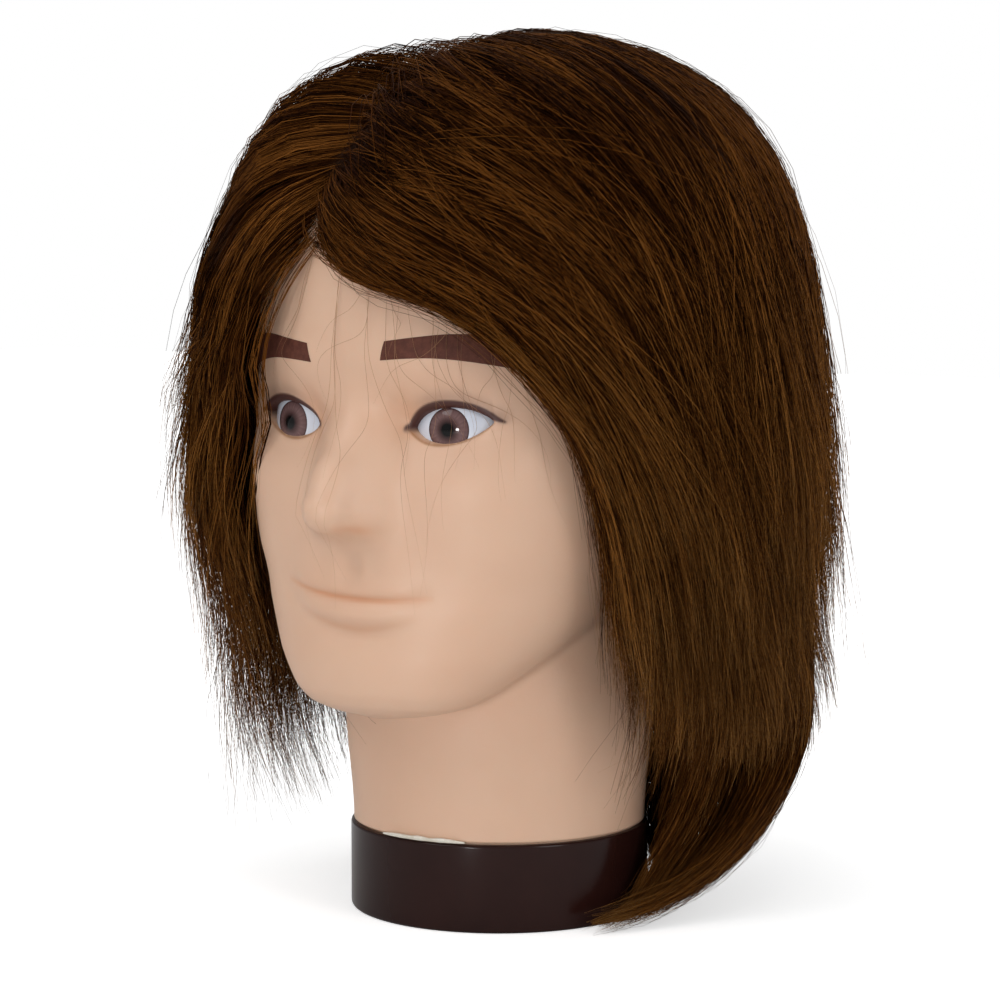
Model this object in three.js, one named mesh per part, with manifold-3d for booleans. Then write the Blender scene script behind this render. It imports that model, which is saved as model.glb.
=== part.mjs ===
// Mannequin training head: a hollow soft-vinyl head with glass-look eyes, rooted hair and a moulded
// neck cup that takes a table clamp from below.
//
// Millimetres, +Z up. The face looks along -Y, so +X is the head's own left. Everything is built
// round the neck's axis, and the finished group is then shifted so that its origin is the middle of
// its bounding box, on the plane it stands on.

import * as THREE from "three";
import { mergeVertices } from "three/addons/utils/BufferGeometryUtils.js";
import Module from "manifold-3d";

const wasm = await Module();
wasm.setup();

// ---------------------------------------------------------------- driving dimensions

const GAP = 0.4; // clearance left between neighbouring pieces
const SKIN = 4.0; // wall of the vinyl head
const SEAL = 1.0; // latex coat that locks the hair roots on the inside of the scalp

const CUP_R = 48.5;
const CUP_H = 28;
const CUP_WALL = 2.4;
const CUP_FLOOR = 3;
const CUP_FOOT_W = 5.5; // width of the ring the cup stands on
const CUP_RECESS = 1.2; // how far the rest of its underside is raised

const GLUE_FROM = -0.26; // turns about +Z from the front, towards the head's left
const GLUE_TO = 0.38;
const GLUE_THICKNESS = [0.3, 0.55, 0.7, 0.6, 0.8, 0.55, 0.75, 0.6, 0.3];

const SOCKET_R = 11; // bore for a table clamp's 22 mm post
const SOCKET_WALL = 4;
const SOCKET_H = 66;
const SOCKET_FLANGE_R = 25;
const SOCKET_FLANGE_H = 3;

const NECK_TUCK = 14; // the skin runs this far down inside the cup's rim
const NECK_REBATE_R = CUP_R - CUP_WALL - GAP;
const LEDGE_Z = CUP_H + 0.7; // where the skin steps out over the rim
const NECK_R_LOW = 47.5; // just above the cup
const NECK_R_HIGH = 49;

const WAIST_Z = 150; // surfaces are cast level below this height and fan out to the crown above it
const UPPER_ROWS = 8;
const COLUMNS = 40;
const CROWDING = 0.5; // how strongly the columns crowd towards the face

const CROWN_Z = 270;
const BROW_Z = 185; // above this height the skull closes as one superellipsoid
const CHIN_Z = 69.5;
const SKULL_POWER = 2.25;

const EYE = { x: 26.3, y: -51.8, z: 160.1, splay: 0.2 }; // middle of the ball the eye is cut from
const EYE_R = 19;
const EYE_WALL = 2;
const EYE_ROOM = 0.9; // clearance in front of the eye, behind the lids
const EYE_EDGE_R = 15; // radius of the dome's back edge
const IRIS_R = 6.6;
const PUPIL_R = 2.4;
const EYE_OPENING_W = 26;
const EYE_OPENING_H = 11.5;

const HAIR_TOP_Z = 284;
const HAIR_FULL_Z = 175; // above this height the hair's outline closes as one superellipsoid
const HAIR_HEM_Z = 44;
const HAIR_DEPTH = 20; // thickness of the hair where it hangs clear of the head
const NAPE_Z = 72; // the long tail at the nape starts here
const PART_X = -18; // the parting lies to the head's right

// ---------------------------------------------------------------- helpers

const clamp01 = (t) => Math.min(1, Math.max(0, t));
const smooth = (t) => t * t * (3 - 2 * t);
const bell = (x, width) => Math.exp(-((x / width) ** 2));

/** Union of two distances, rounded over a width of k. */
function smoothMin(a, b, k) {
  const h = Math.max(k - Math.abs(a - b), 0) / k;
  return Math.min(a, b) - h * h * k * 0.25;
}

/** One row of a table of stations at height z, by Catmull-Rom interpolation. */
function stationAt(stations, z) {
  const last = stations.length - 1;
  let i = 0;
  while (i < last - 1 && z > stations[i + 1][0]) i++;
  const rows = [Math.max(i - 1, 0), i, i + 1, Math.min(i + 2, last)].map((k) => stations[k]);
  const t = clamp01((z - rows[1][0]) / (rows[2][0] - rows[1][0]));
  return rows[1].map((_, c) => {
    const [p0, p1, p2, p3] = rows.map((row) => row[c]);
    return 0.5 * (2 * p1 + (p2 - p0) * t + (2 * p0 - 5 * p1 + 4 * p2 - p3) * t * t
      + (3 * p1 - p0 - 3 * p2 + p3) * t * t * t);
  });
}

/**
 * Distance from a surface whose level sections are superellipses, with their own front and back.
 * Above topZ the section at topZ closes as one superellipsoid that ends at crownZ.
 */
function stationedBody(stations, topZ, crownZ, p) {
  const [, a, widest, front, back, power] = stationAt(stations, Math.min(p.z, topZ));
  const depth = p.y < widest ? widest - front : back - widest;
  const up = Math.max(p.z - topZ, 0);
  const gauge = (Math.abs(p.x / a) ** power + Math.abs((p.y - widest) / depth) ** power
    + (up / (crownZ - topZ)) ** power) ** (1 / power);
  const reach = Math.hypot(p.x, p.y - widest, up);
  return reach - reach / Math.max(gauge, 1e-6);
}

function indexed(positions, index) {
  const made = new THREE.BufferGeometry();
  made.setAttribute("position", new THREE.Float32BufferAttribute(positions, 3));
  made.setIndex(index);
  return made;
}

/** A closed three.js geometry as a manifold solid. */
function solid(geometry) {
  const bare = geometry.index ? geometry.toNonIndexed() : geometry.clone();
  bare.deleteAttribute("normal");
  bare.deleteAttribute("uv");
  const merged = mergeVertices(bare, 1e-4);
  return new wasm.Manifold(new wasm.Mesh({
    numProp: 3,
    vertProperties: merged.attributes.position.array,
    triVerts: new Uint32Array(merged.index.array),
  }));
}

/** A manifold solid as a three.js geometry. */
function geometryOf(manifold) {
  const { numProp, numVert, vertProperties, triVerts } = manifold.getMesh();
  const position = new Float32Array(numVert * 3);
  for (let i = 0; i < numVert; i++) {
    position.set(vertProperties.subarray(i * numProp, i * numProp + 3), i * 3);
  }
  const made = new THREE.BufferGeometry();
  made.setAttribute("position", new THREE.BufferAttribute(position, 3));
  made.setIndex(new THREE.BufferAttribute(new Uint32Array(triVerts), 1));
  made.computeVertexNormals();
  return made;
}

/** A profile of [radius, height] points turned about +Z. */
function turned(profile, segments) {
  const points = profile.map(([r, h]) => new THREE.Vector2(r, h));
  return new THREE.LatheGeometry(points, segments).rotateX(Math.PI / 2);
}

/** [radius, height] points of an arc about (r, h) from one angle to another. */
function arc(r, h, radius, from, to, steps) {
  return Array.from({ length: steps + 1 }, (_, i) => {
    const angle = from + ((to - from) * i) / steps;
    return [r + radius * Math.cos(angle), h + radius * Math.sin(angle)];
  });
}

/** A box with its lowest and highest corners. */
function boxBetween([x0, y0, z0], [x1, y1, z1]) {
  return new THREE.BoxGeometry(x1 - x0, y1 - y0, z1 - z0)
    .translate((x0 + x1) / 2, (y0 + y1) / 2, (z0 + z1) / 2);
}

// ---------------------------------------------------------------- the head's surface

// Height, half width, y of the widest point, front, back, squareness.
const HEAD_STATIONS = [
  [CHIN_Z, 8, -62, -67, -57, 2.1],
  [71.5, 20, -60, -73, -50, 2.15],
  [74, 28.5, -57, -77, -44, 2.2],
  [78, 34.5, -53, -79.3, -38, 2.25],
  [83, 39.5, -48, -80, -30, 2.3],
  [89, 45, -42, -80.3, -20, 2.3],
  [96, 50.5, -34, -80, -6, 2.3],
  [104, 56, -25, -80, 14, 2.3],
  [112, 60.5, -17, -80, 34, 2.3],
  [122, 65.5, -11, -80, 60, 2.35],
  [135, 69.5, -3, -79.5, 83, 2.4],
  [150, 72, 4, -79.5, 95, 2.4],
  [165, 73.2, 10, -79.5, 101, 2.35],
  [BROW_Z, 74, 16, -81.5, 103, SKULL_POWER],
  [BROW_Z + 10, 74, 16, -81.5, 103, SKULL_POWER],
];

/** Height of the line between the lips. It rises a little more to the right corner. */
function mouthLine(x) {
  return 108.2 + 2.1 * (x / 26) ** 2 - (1.2 * x) / 26;
}

/** Height of the fold under the lower lip, which curves up to the corners of the mouth. */
function chinLine(x) {
  return 98.2 + 6.5 * (x / 24) ** 2 - (1.3 * x) / 24;
}

/** How far the face stands forward of its plain section, at a place in the front view. */
function faceRelief(x, z) {
  const side = Math.abs(x);
  const mouth = mouthLine(x);
  const fade = clamp01(1 - (x / 27.5) ** 2);
  let out = 0;
  out -= 6.4 * bell(side - 29, 16) * bell(z - 160.5, 10.5); // eye sockets
  out -= 3.0 * bell(side - 17, 7) * bell(z - 161, 8); // inner corners
  out -= 2.0 * bell(x, 9) * bell(z - 167, 8); // root of the nose
  out += 1.7 * bell(side - 24, 20) * bell(z - 182, 7); // brow ridge
  out += 2.0 * bell(side - 44, 14) * bell(z - 142, 13); // cheekbones
  out -= 1.3 * bell(side - 28, 10) * bell(z - 119, 11); // beside the mouth
  out += 1.2 * bell(side - 30, 13) * bell(z - 168.5, 3); // upper lid
  out += 1.0 * bell(side - 30, 13) * bell(z - 153.5, 3); // lower lid
  out += 1.3 * fade * bell(z - mouth - 3.2, 3.6); // upper lip
  out += 2.4 * fade ** 1.5 * bell(z - mouth + 5.0, 4.4); // lower lip
  out -= 1.1 * fade * bell(z - mouth, 1.3); // line between the lips
  out -= 1.9 * bell(x, 20) * bell(z - chinLine(x) + 0.8, 3.3); // under the lower lip
  out += 0.8 * bell(x, 18) * bell(z - 84, 8); // chin
  return out;
}

/** A cone with round ends, as a distance. */
function taperedRod(p, from, to, r0, r1) {
  const along = to.clone().sub(from);
  const offset = p.clone().sub(from);
  const t = clamp01(offset.dot(along) / along.lengthSq());
  return offset.addScaledVector(along, -t).length() - (r0 + (r1 - r0) * t);
}

const NOSE_ROOT = new THREE.Vector3(0, -73.5, 165);
const NOSE_RIDGE = new THREE.Vector3(0, -85.5, 145);
const NOSE_TIP = new THREE.Vector3(0, -90.5, 136.2);
const WING_ROOT = new THREE.Vector3(5, -74, 152);
const WING_END = new THREE.Vector3(7.4, -82, 134);
const NOSE_BASE = new THREE.Vector3(0, -84.5, 133.2);
const EAR = new THREE.Vector3(72, 14, 150);

/** Distance from the outer surface of the head and neck. */
function headDistance(p) {
  const mirrored = new THREE.Vector3(Math.abs(p.x), p.y, p.z);
  const front = smooth(clamp01((-p.y - 15) / 30));
  const pressed = new THREE.Vector3(p.x, p.y + front * faceRelief(p.x, p.z), p.z);
  let d = stationedBody(HEAD_STATIONS, BROW_Z, CROWN_Z, pressed);
  if (p.z < CHIN_Z) d = Math.max(d, CHIN_Z - p.z);

  const neckRise = clamp01((p.z - CUP_H) / 40);
  const neckR = p.z < LEDGE_Z
    ? NECK_REBATE_R
    : NECK_R_LOW + (NECK_R_HIGH - NECK_R_LOW) * smooth(neckRise);
  const neckY = 8 * smooth(clamp01((p.z - 70) / 60));
  const neck = Math.max(Math.hypot(p.x, p.y - neckY) - neckR, p.z - 150);
  d = smoothMin(d, neck, 11 * smooth(clamp01((p.z - 57) / 8)) + 0.01);

  let nose = taperedRod(p, NOSE_ROOT, NOSE_RIDGE, 4.6, 6.2);
  nose = smoothMin(nose, taperedRod(p, NOSE_RIDGE, NOSE_TIP, 6.2, 7.6), 7);
  nose = smoothMin(nose, taperedRod(mirrored, WING_ROOT, WING_END, 4, 4.9), 9);
  nose = smoothMin(nose, p.distanceTo(NOSE_BASE) - 4.2, 5);
  d = smoothMin(d, nose, 11);

  const ear = mirrored.clone().sub(EAR);
  ear.set(ear.x / 8, (ear.y - 0.2 * ear.z) / 16, ear.z / 30);
  return smoothMin(d, (ear.length() - 1) * 8, 5);
}

// ---------------------------------------------------------------- surfaces cast from the inside

/**
 * The rows of a cast surface, from the crown down. Each row is a cone of rays: the height and the
 * depth where its rays start, and their slope. Rows dip under the jaw and level out on the neck.
 * Surfaces cast with the same rows and columns nest without touching, however coarse they are.
 */
function castRows(step, bottomZ) {
  const rows = [];
  for (let i = 1; i <= UPPER_ROWS; i++) {
    rows.push({ z: WAIST_Z, y: 8, rise: (Math.PI / 2) * (1 - i / (UPPER_ROWS + 1)) });
  }
  const heights = [];
  for (let z = WAIST_Z; z > bottomZ + 1; z -= step) {
    heights.push(z);
  }
  heights.push(bottomZ);
  if (bottomZ < CUP_H) heights.push(LEDGE_Z - 0.25, LEDGE_Z + 0.25);
  for (const z of heights.sort((low, high) => high - low)) {
    const dip = smooth(clamp01((WAIST_Z - z) / 50)) * smooth(clamp01((z - 56) / 40));
    rows.push({ z, y: 8 * clamp01((z - 60) / 90), rise: -0.34 * dip });
  }
  return rows;
}

/** The point where a ray from inside meets distance = level. */
function cast(distance, origin, way, level) {
  const at = new THREE.Vector3();
  const outside = (t) => distance(at.copy(origin).addScaledVector(way, t)) > level;
  let far = 20;
  while (!outside(far) && far < 260) far += 2;
  let near = far - 2;
  for (let i = 0; i < 22; i++) {
    const middle = (near + far) / 2;
    if (outside(middle)) far = middle;
    else near = middle;
  }
  return origin.clone().addScaledVector(way, (near + far) / 2);
}

/** A closed body cast from the inside: one ring of points a row, a point on top, a flat base. */
function castBody(distance, level, rows) {
  const positions = [];
  const index = [];
  const top = cast(distance, new THREE.Vector3(0, rows[0].y, rows[0].z), new THREE.Vector3(0, 0, 1), level);
  positions.push(top.x, top.y, top.z);
  for (const row of rows) {
    for (let c = 0; c < COLUMNS; c++) {
      const even = (2 * Math.PI * c) / COLUMNS;
      const turn = even - CROWDING * Math.sin(even);
      const way = new THREE.Vector3(
        Math.sin(turn) * Math.cos(row.rise),
        -Math.cos(turn) * Math.cos(row.rise),
        Math.sin(row.rise),
      );
      const hit = cast(distance, new THREE.Vector3(0, row.y, row.z), way, level);
      positions.push(hit.x, hit.y, hit.z);
    }
  }
  const lastRow = rows[rows.length - 1];
  positions.push(0, lastRow.y, lastRow.z);
  const base = positions.length / 3 - 1;
  for (let c = 0; c < COLUMNS; c++) {
    const next = (c + 1) % COLUMNS;
    index.push(0, 1 + c, 1 + next);
    for (let r = 0; r < rows.length - 1; r++) {
      const here = 1 + r * COLUMNS;
      const below = here + COLUMNS;
      if (c < COLUMNS / 2) index.push(here + c, below + c, here + next, below + c, below + next, here + next);
      else index.push(here + c, below + c, below + next, here + c, below + next, here + next);
    }
    const last = 1 + (rows.length - 1) * COLUMNS;
    index.push(last + c, base, last + next);
  }
  return solid(indexed(positions, index));
}

/** The head's outer surface, or a level inside or outside it, down to a flat base. */
function headBody(level, step, bottomZ) {
  return castBody(headDistance, level, castRows(step, bottomZ));
}

/** A closed body through a run of ellipses, each with its middle and its two half axes. */
function loftedBody(rings, segments) {
  const positions = [];
  const index = [];
  for (const { at, wide, deep } of rings) {
    for (let s = 0; s < segments; s++) {
      const angle = (2 * Math.PI * s) / segments;
      const p = at.clone().addScaledVector(wide, Math.cos(angle)).addScaledVector(deep, Math.sin(angle));
      positions.push(p.x, p.y, p.z);
    }
  }
  const first = rings.length * segments;
  for (const { at } of [rings[0], rings[rings.length - 1]]) {
    positions.push(at.x, at.y, at.z);
  }
  for (let s = 0; s < segments; s++) {
    const next = (s + 1) % segments;
    index.push(first, s, next);
    for (let r = 0; r < rings.length - 1; r++) {
      const here = r * segments;
      const below = here + segments;
      index.push(here + s, below + s, below + next, here + s, below + next, here + next);
    }
    const last = (rings.length - 1) * segments;
    index.push(last + s, first + 1, last + next);
  }
  return solid(indexed(positions, index));
}

// ---------------------------------------------------------------- the eyes

/** Places a piece made about the eye's own axis (+Z outwards) in the left or the right eye. */
function placeEye(manifold, side) {
  const tilt = new THREE.Euler(Math.PI / 2, 0, side * EYE.splay, "ZXY");
  const place = new THREE.Matrix4().makeRotationFromEuler(tilt);
  place.setPosition(side * EYE.x, EYE.y, EYE.z);
  return manifold.transform(place.elements);
}

/** The white dome, open behind and at the iris. */
function eyeDome() {
  const inner = EYE_R - EYE_WALL;
  const angleAt = (radius, ball) => Math.acos(radius / ball);
  const outside = arc(0, 0, EYE_R, angleAt(EYE_EDGE_R, EYE_R), angleAt(IRIS_R + GAP, EYE_R), 5);
  const inside = arc(0, 0, inner, angleAt(IRIS_R + GAP, inner), angleAt(EYE_EDGE_R - 1.5, inner), 4);
  return solid(turned([...outside, ...inside, outside[0]], 24));
}

function irisDisc() {
  const back = EYE_R - EYE_WALL - 1;
  return solid(new THREE.CylinderGeometry(IRIS_R - 0.2, IRIS_R - 0.2, 0.8, 20)
    .rotateX(Math.PI / 2).translate(0, 0, back + 0.4));
}

function pupilDisc() {
  const front = EYE_R - EYE_WALL + 0.1;
  return solid(new THREE.CylinderGeometry(PUPIL_R, PUPIL_R, 0.4, 16)
    .rotateX(Math.PI / 2).translate(0, 0, front + 0.2));
}

/** The clear lens over the iris: flat behind, domed in front. */
function corneaLens() {
  const back = EYE_R - EYE_WALL + 0.9;
  const dome = [[IRIS_R, back + 0.25], [4.4, back + 0.95], [2.4, back + 1.35]];
  return solid(turned([[0, back], [IRIS_R, back], ...dome, [0, back + 1.5]], 20));
}

/** The room an eye needs behind the lids: a ball's front, open towards the middle of the head. */
function eyePocket() {
  const r = EYE_EDGE_R + 1.2;
  const outer = EYE_R + EYE_ROOM;
  const front = arc(0, 0, outer, Math.acos(r / outer), Math.PI / 2, 5);
  front[front.length - 1] = [0, outer];
  return solid(turned([[0, 4], [r, 4], ...front], 24));
}

/** The almond between the lids, as a prism along the eye's axis. */
function eyeAperture() {
  const half = EYE_OPENING_W / 2;
  const almond = new THREE.Shape();
  almond.moveTo(-half, 0);
  almond.bezierCurveTo(-half * 0.5, -EYE_OPENING_H * 0.68, half * 0.5, -EYE_OPENING_H * 0.68, half, 0.5);
  almond.bezierCurveTo(half * 0.4, EYE_OPENING_H * 0.74, -half * 0.5, EYE_OPENING_H * 0.74, -half, 0);
  const prism = new THREE.ExtrudeGeometry(almond, { depth: 20, bevelEnabled: false, curveSegments: 9 });
  return solid(prism.translate(half * 0.05, 0, EYE_R - 10));
}

// ---------------------------------------------------------------- skin, seal and foam

function eyeOpenings(shape) {
  return placeEye(shape, 1).add(placeEye(shape, -1));
}

function headSkin() {
  const outside = headBody(0, 5, CUP_H - NECK_TUCK);
  const inside = headBody(-SKIN, 10, CUP_H - NECK_TUCK - 4);
  return outside.subtract(inside).subtract(eyeOpenings(eyePocket())).subtract(eyeOpenings(eyeAperture()));
}

/** The latex coat: an open dome lining the scalp, a little inside the skin. */
function scalpSeal() {
  const outside = headBody(-SKIN - GAP, 10, WAIST_Z).trimByPlane([0, 0, 1], 208);
  return outside.subtract(headBody(-SKIN - GAP - SEAL, 10, WAIST_Z));
}

/** The rigid foam that fills the head, with a hole for the clamp's sleeve. */
function foamCore() {
  const filling = headBody(-SKIN - SEAL - 2 * GAP, 10, CUP_H - NECK_TUCK + 6);
  const room = SOCKET_R + SOCKET_WALL + GAP;
  const sleeveRoom = solid(turned([[0, 0], [room, 0], [room, SOCKET_H + GAP], [0, SOCKET_H + GAP]], 32));
  return filling.subtract(sleeveRoom).subtract(eyeOpenings(eyePocket()));
}

// ---------------------------------------------------------------- the neck cup

function baseCup() {
  const inner = CUP_R - CUP_WALL;
  const footInner = CUP_R - CUP_FOOT_W;
  const hole = SOCKET_R;
  const profile = [
    [hole, CUP_RECESS],
    [footInner - 0.8, CUP_RECESS],
    [footInner, 0],
    ...arc(CUP_R - 1.2, 1.2, 1.2, -Math.PI / 2, 0, 3),
    ...arc(CUP_R - 0.8, CUP_H - 0.8, 0.8, 0, Math.PI / 2, 2),
    [inner, CUP_H],
    [inner, CUP_FLOOR],
    [hole, CUP_FLOOR],
    [hole, CUP_RECESS],
  ];
  return solid(turned(profile, 48));
}

/** The clamp's sleeve: a flanged tube, open below and closed above. */
function clampSocket() {
  const foot = CUP_FLOOR + GAP;
  const outer = SOCKET_R + SOCKET_WALL;
  const profile = [
    [0, SOCKET_H - SOCKET_WALL],
    [SOCKET_R, SOCKET_H - SOCKET_WALL],
    [SOCKET_R, foot],
    [SOCKET_FLANGE_R, foot],
    [SOCKET_FLANGE_R, foot + SOCKET_FLANGE_H],
    [outer + 2, foot + SOCKET_FLANGE_H],
    [outer, foot + SOCKET_FLANGE_H + 2],
    [outer, SOCKET_H - 2],
    [outer - 2, SOCKET_H],
    [0, SOCKET_H],
  ];
  return solid(turned(profile, 32));
}

/** One of the ribs that stiffen the cup's floor and carry the neck's bottom edge. */
function cupRib(turn) {
  const start = SOCKET_FLANGE_R + 2 * GAP;
  const end = CUP_R - CUP_WALL - 2 * GAP;
  const foot = CUP_FLOOR + GAP;
  return boxBetween([start, -1.25, foot], [end, 1.25, CUP_H - NECK_TUCK - GAP]).rotateZ(turn);
}

/** The adhesive squeezed out at the front, where the skin meets the cup's rim. */
function seamGlue() {
  const up = new THREE.Vector3(0, 0, 1);
  const rings = GLUE_THICKNESS.map((thickness, i) => {
    const turn = GLUE_FROM + ((GLUE_TO - GLUE_FROM) * i) / (GLUE_THICKNESS.length - 1);
    const out = new THREE.Vector3(Math.sin(turn), -Math.cos(turn), 0);
    const at = out.clone().multiplyScalar(NECK_R_LOW + GAP + thickness).setZ(CUP_H + GAP + thickness);
    return { at, wide: up.clone().multiplyScalar(-thickness), deep: out.clone().multiplyScalar(thickness) };
  });
  return loftedBody(rings, 8);
}

// ---------------------------------------------------------------- the hair

// Height, half width, y of the widest point, front, back, squareness.
const HAIR_STATIONS = [
  [HAIR_HEM_Z - 30, 66, 24, -26, 84, 2.4],
  [HAIR_HEM_Z, 76, 22, -44, 92, 2.4],
  [66, 84, 20, -58, 99, 2.5],
  [93, 91, 16, -78, 106, 2.6],
  [125, 95, 14, -94, 112, 2.6],
  [150, 96, 14, -97, 116, 2.6],
  [HAIR_FULL_Z, 93, 14, -95, 117, 2.5],
  [HAIR_FULL_Z + 10, 93, 14, -95, 117, 2.5],
];

/** Distance from the outer surface of the hair. */
const hairDistance = (p) => stationedBody(HAIR_STATIONS, HAIR_FULL_Z, HAIR_TOP_Z, p);

/** Distance from the surface the hair lies on: the scalp, then the hollow inside the curtain. */
function underHairDistance(p) {
  const curtain = Math.max(hairDistance(p) + HAIR_DEPTH, p.z - 150);
  return Math.min(headDistance(p) - 2.5 * GAP, curtain);
}

/** The front of the head left bare by the hair, as a prism from front to back. */
function faceWindow() {
  const outline = [
    [PART_X, 221], [5, 208], [36, 197], [55, 179], [62, 160], [63, 112], [57, 92], [54, 30],
    [-54, 30], [-57, 92], [-62, 112], [-60, 148], [-47, 168], [-34, 190], [-25, 205],
  ].map(([x, z]) => new THREE.Vector2(x, z));
  const prism = new THREE.ExtrudeGeometry(new THREE.Shape(outline), { depth: 150, bevelEnabled: false });
  return solid(prism.rotateX(Math.PI / 2));
}

function hairShell() {
  const outside = castBody(hairDistance, 0, castRows(12, HAIR_HEM_Z));
  const inside = castBody(underHairDistance, 0, castRows(10, HAIR_HEM_Z - 8));
  return outside.subtract(inside).subtract(faceWindow());
}

const FAR = 200;
const FRINGE_Y = -28;
const CROWN_Y = 52;

// Hairdressing zones as boxes, lowest and highest corners. They meet; each is cut back by the gap.
const HAIR_ZONES = {
  hair_fringe_left: [[PART_X, -FAR, 176], [FAR, FRINGE_Y, FAR * 2]],
  hair_fringe_right: [[-FAR, -FAR, 176], [PART_X, FRINGE_Y, FAR * 2]],
  hair_top_left: [[PART_X, FRINGE_Y, 212], [FAR, CROWN_Y, FAR * 2]],
  hair_top_right: [[-FAR, FRINGE_Y, 212], [PART_X, CROWN_Y, FAR * 2]],
  hair_crown: [[-FAR, CROWN_Y, 196], [FAR, FAR, FAR * 2]],
  hair_temple_left: [[0, -FAR, 60], [FAR, FRINGE_Y, 176]],
  hair_temple_right: [[-FAR, -FAR, 60], [0, FRINGE_Y, 176]],
  hair_side_left: [[0, FRINGE_Y, 125], [FAR, CROWN_Y, 212]],
  hair_side_right: [[-FAR, FRINGE_Y, 125], [0, CROWN_Y, 212]],
  hair_under_left: [[0, FRINGE_Y, NAPE_Z], [FAR, CROWN_Y, 125]],
  hair_under_right: [[-FAR, FRINGE_Y, 50], [0, CROWN_Y, 125]],
  hair_occipital: [[-FAR, CROWN_Y, 134], [FAR, FAR, 196]],
  hair_nape: [[-FAR, CROWN_Y, NAPE_Z], [FAR, FAR, 134]],
};

function hairSection(shell, [low, high]) {
  const half = GAP / 2;
  const zone = boxBetween(low.map((v) => v + half), high.map((v) => v - half));
  return shell.intersect(solid(zone));
}

// The long lock: the middle of each ring, its turn round the neck, half width and half depth.
const TAIL_RINGS = [
  { middle: [59, 64, NAPE_Z - GAP], turn: 0.85, width: 33, depth: 10 },
  { middle: [65, 52, 50], turn: 1.0, width: 30, depth: 9 },
  { middle: [66.5, 38, 30], turn: 1.2, width: 25, depth: 8 },
  { middle: [66, 18, 15], turn: 1.5, width: 17, depth: 7 },
  { middle: [60.5, -4, 7.5], turn: 1.75, width: 9, depth: 4.5 },
  { middle: [53, -22, 3.5], turn: 1.9, width: 3, depth: 1.6 },
];

/** The lock that hangs from the left of the nape and lays its end on the table beside the cup. */
function hairTail() {
  const middles = TAIL_RINGS.map(({ middle }) => new THREE.Vector3(...middle));
  const rings = TAIL_RINGS.map(({ turn, width, depth }, r) => {
    const next = middles[Math.min(r + 1, middles.length - 1)];
    const run = next.clone().sub(middles[Math.max(r - 1, 0)]).normalize();
    if (r === 0) run.set(0, 0, -1);
    const across = new THREE.Vector3(-Math.cos(turn), -Math.sin(turn), 0);
    across.addScaledVector(run, -across.dot(run)).normalize();
    const outwards = new THREE.Vector3().crossVectors(across, run);
    return {
      at: middles[r],
      wide: across.multiplyScalar(width),
      deep: outwards.multiplyScalar(depth),
    };
  });
  return loftedBody(rings, 16);
}

// ---------------------------------------------------------------- materials

const finish = (color, roughness, metalness = 0) =>
  new THREE.MeshStandardMaterial({ color, roughness, metalness });

const SKIN_VINYL = finish(0xdcb698, 0.55);
const FOAM = finish(0xe6d9a8, 0.9);
const LATEX = finish(0xf0e6c8, 0.7);
const CUP_PLASTIC = finish(0x2d1c18, 0.15);
const SOCKET_PLASTIC = finish(0x2a2a2c, 0.35);
const GLUE = finish(0xd8d2c2, 0.6);
const EYE_WHITE = finish(0xe4e6ec, 0.12);
const IRIS_BROWN = finish(0x6b4a48, 0.3);
const PUPIL_BLACK = finish(0x0c0a0c, 0.2);
const CLEAR = new THREE.MeshStandardMaterial({
  color: 0xffffff, roughness: 0.03, transparent: true, opacity: 0.25,
});
const HAIR = finish(0x3c2612, 0.6);

// ---------------------------------------------------------------- assembly

const part = new THREE.Group();
part.name = "mannequin_training_head";

function addNode(name, manifold, material) {
  const mesh = new THREE.Mesh(geometryOf(manifold), material);
  mesh.name = name;
  part.add(mesh);
}

addNode("head_skin", headSkin(), SKIN_VINYL);
addNode("scalp_seal", scalpSeal(), LATEX);
addNode("foam_core", foamCore(), FOAM);

for (const [suffix, side] of [["left", 1], ["right", -1]]) {
  addNode(`eye_dome_${suffix}`, placeEye(eyeDome(), side), EYE_WHITE);
  addNode(`iris_${suffix}`, placeEye(irisDisc(), side), IRIS_BROWN);
  addNode(`pupil_${suffix}`, placeEye(pupilDisc(), side), PUPIL_BLACK);
  addNode(`cornea_${suffix}`, placeEye(corneaLens(), side), CLEAR);
}

addNode("base_cup", baseCup(), CUP_PLASTIC);
addNode("clamp_socket", clampSocket(), SOCKET_PLASTIC);
for (let i = 0; i < 6; i++) {
  addNode(`cup_rib_${i + 1}`, solid(cupRib((i * Math.PI) / 3)), CUP_PLASTIC);
}
addNode("seam_glue", seamGlue(), GLUE);

const shell = hairShell();
for (const [name, zone] of Object.entries(HAIR_ZONES)) {
  addNode(name, hairSection(shell, zone), HAIR);
}
addNode("hair_tail", hairTail(), HAIR);

const bounds = new THREE.Box3().setFromObject(part);
const middle = bounds.getCenter(new THREE.Vector3());
part.children.forEach((mesh) => mesh.geometry.translate(-middle.x, -middle.y, -bounds.min.z));

export default part;
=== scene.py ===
"""Looks for the mannequin training head.

Shapes are worked out in millimetres round the neck's axis, with the face towards -Y and +X at the
head's own left, and are turned into metres in the row frame when a mesh is made.
"""
import math

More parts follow.
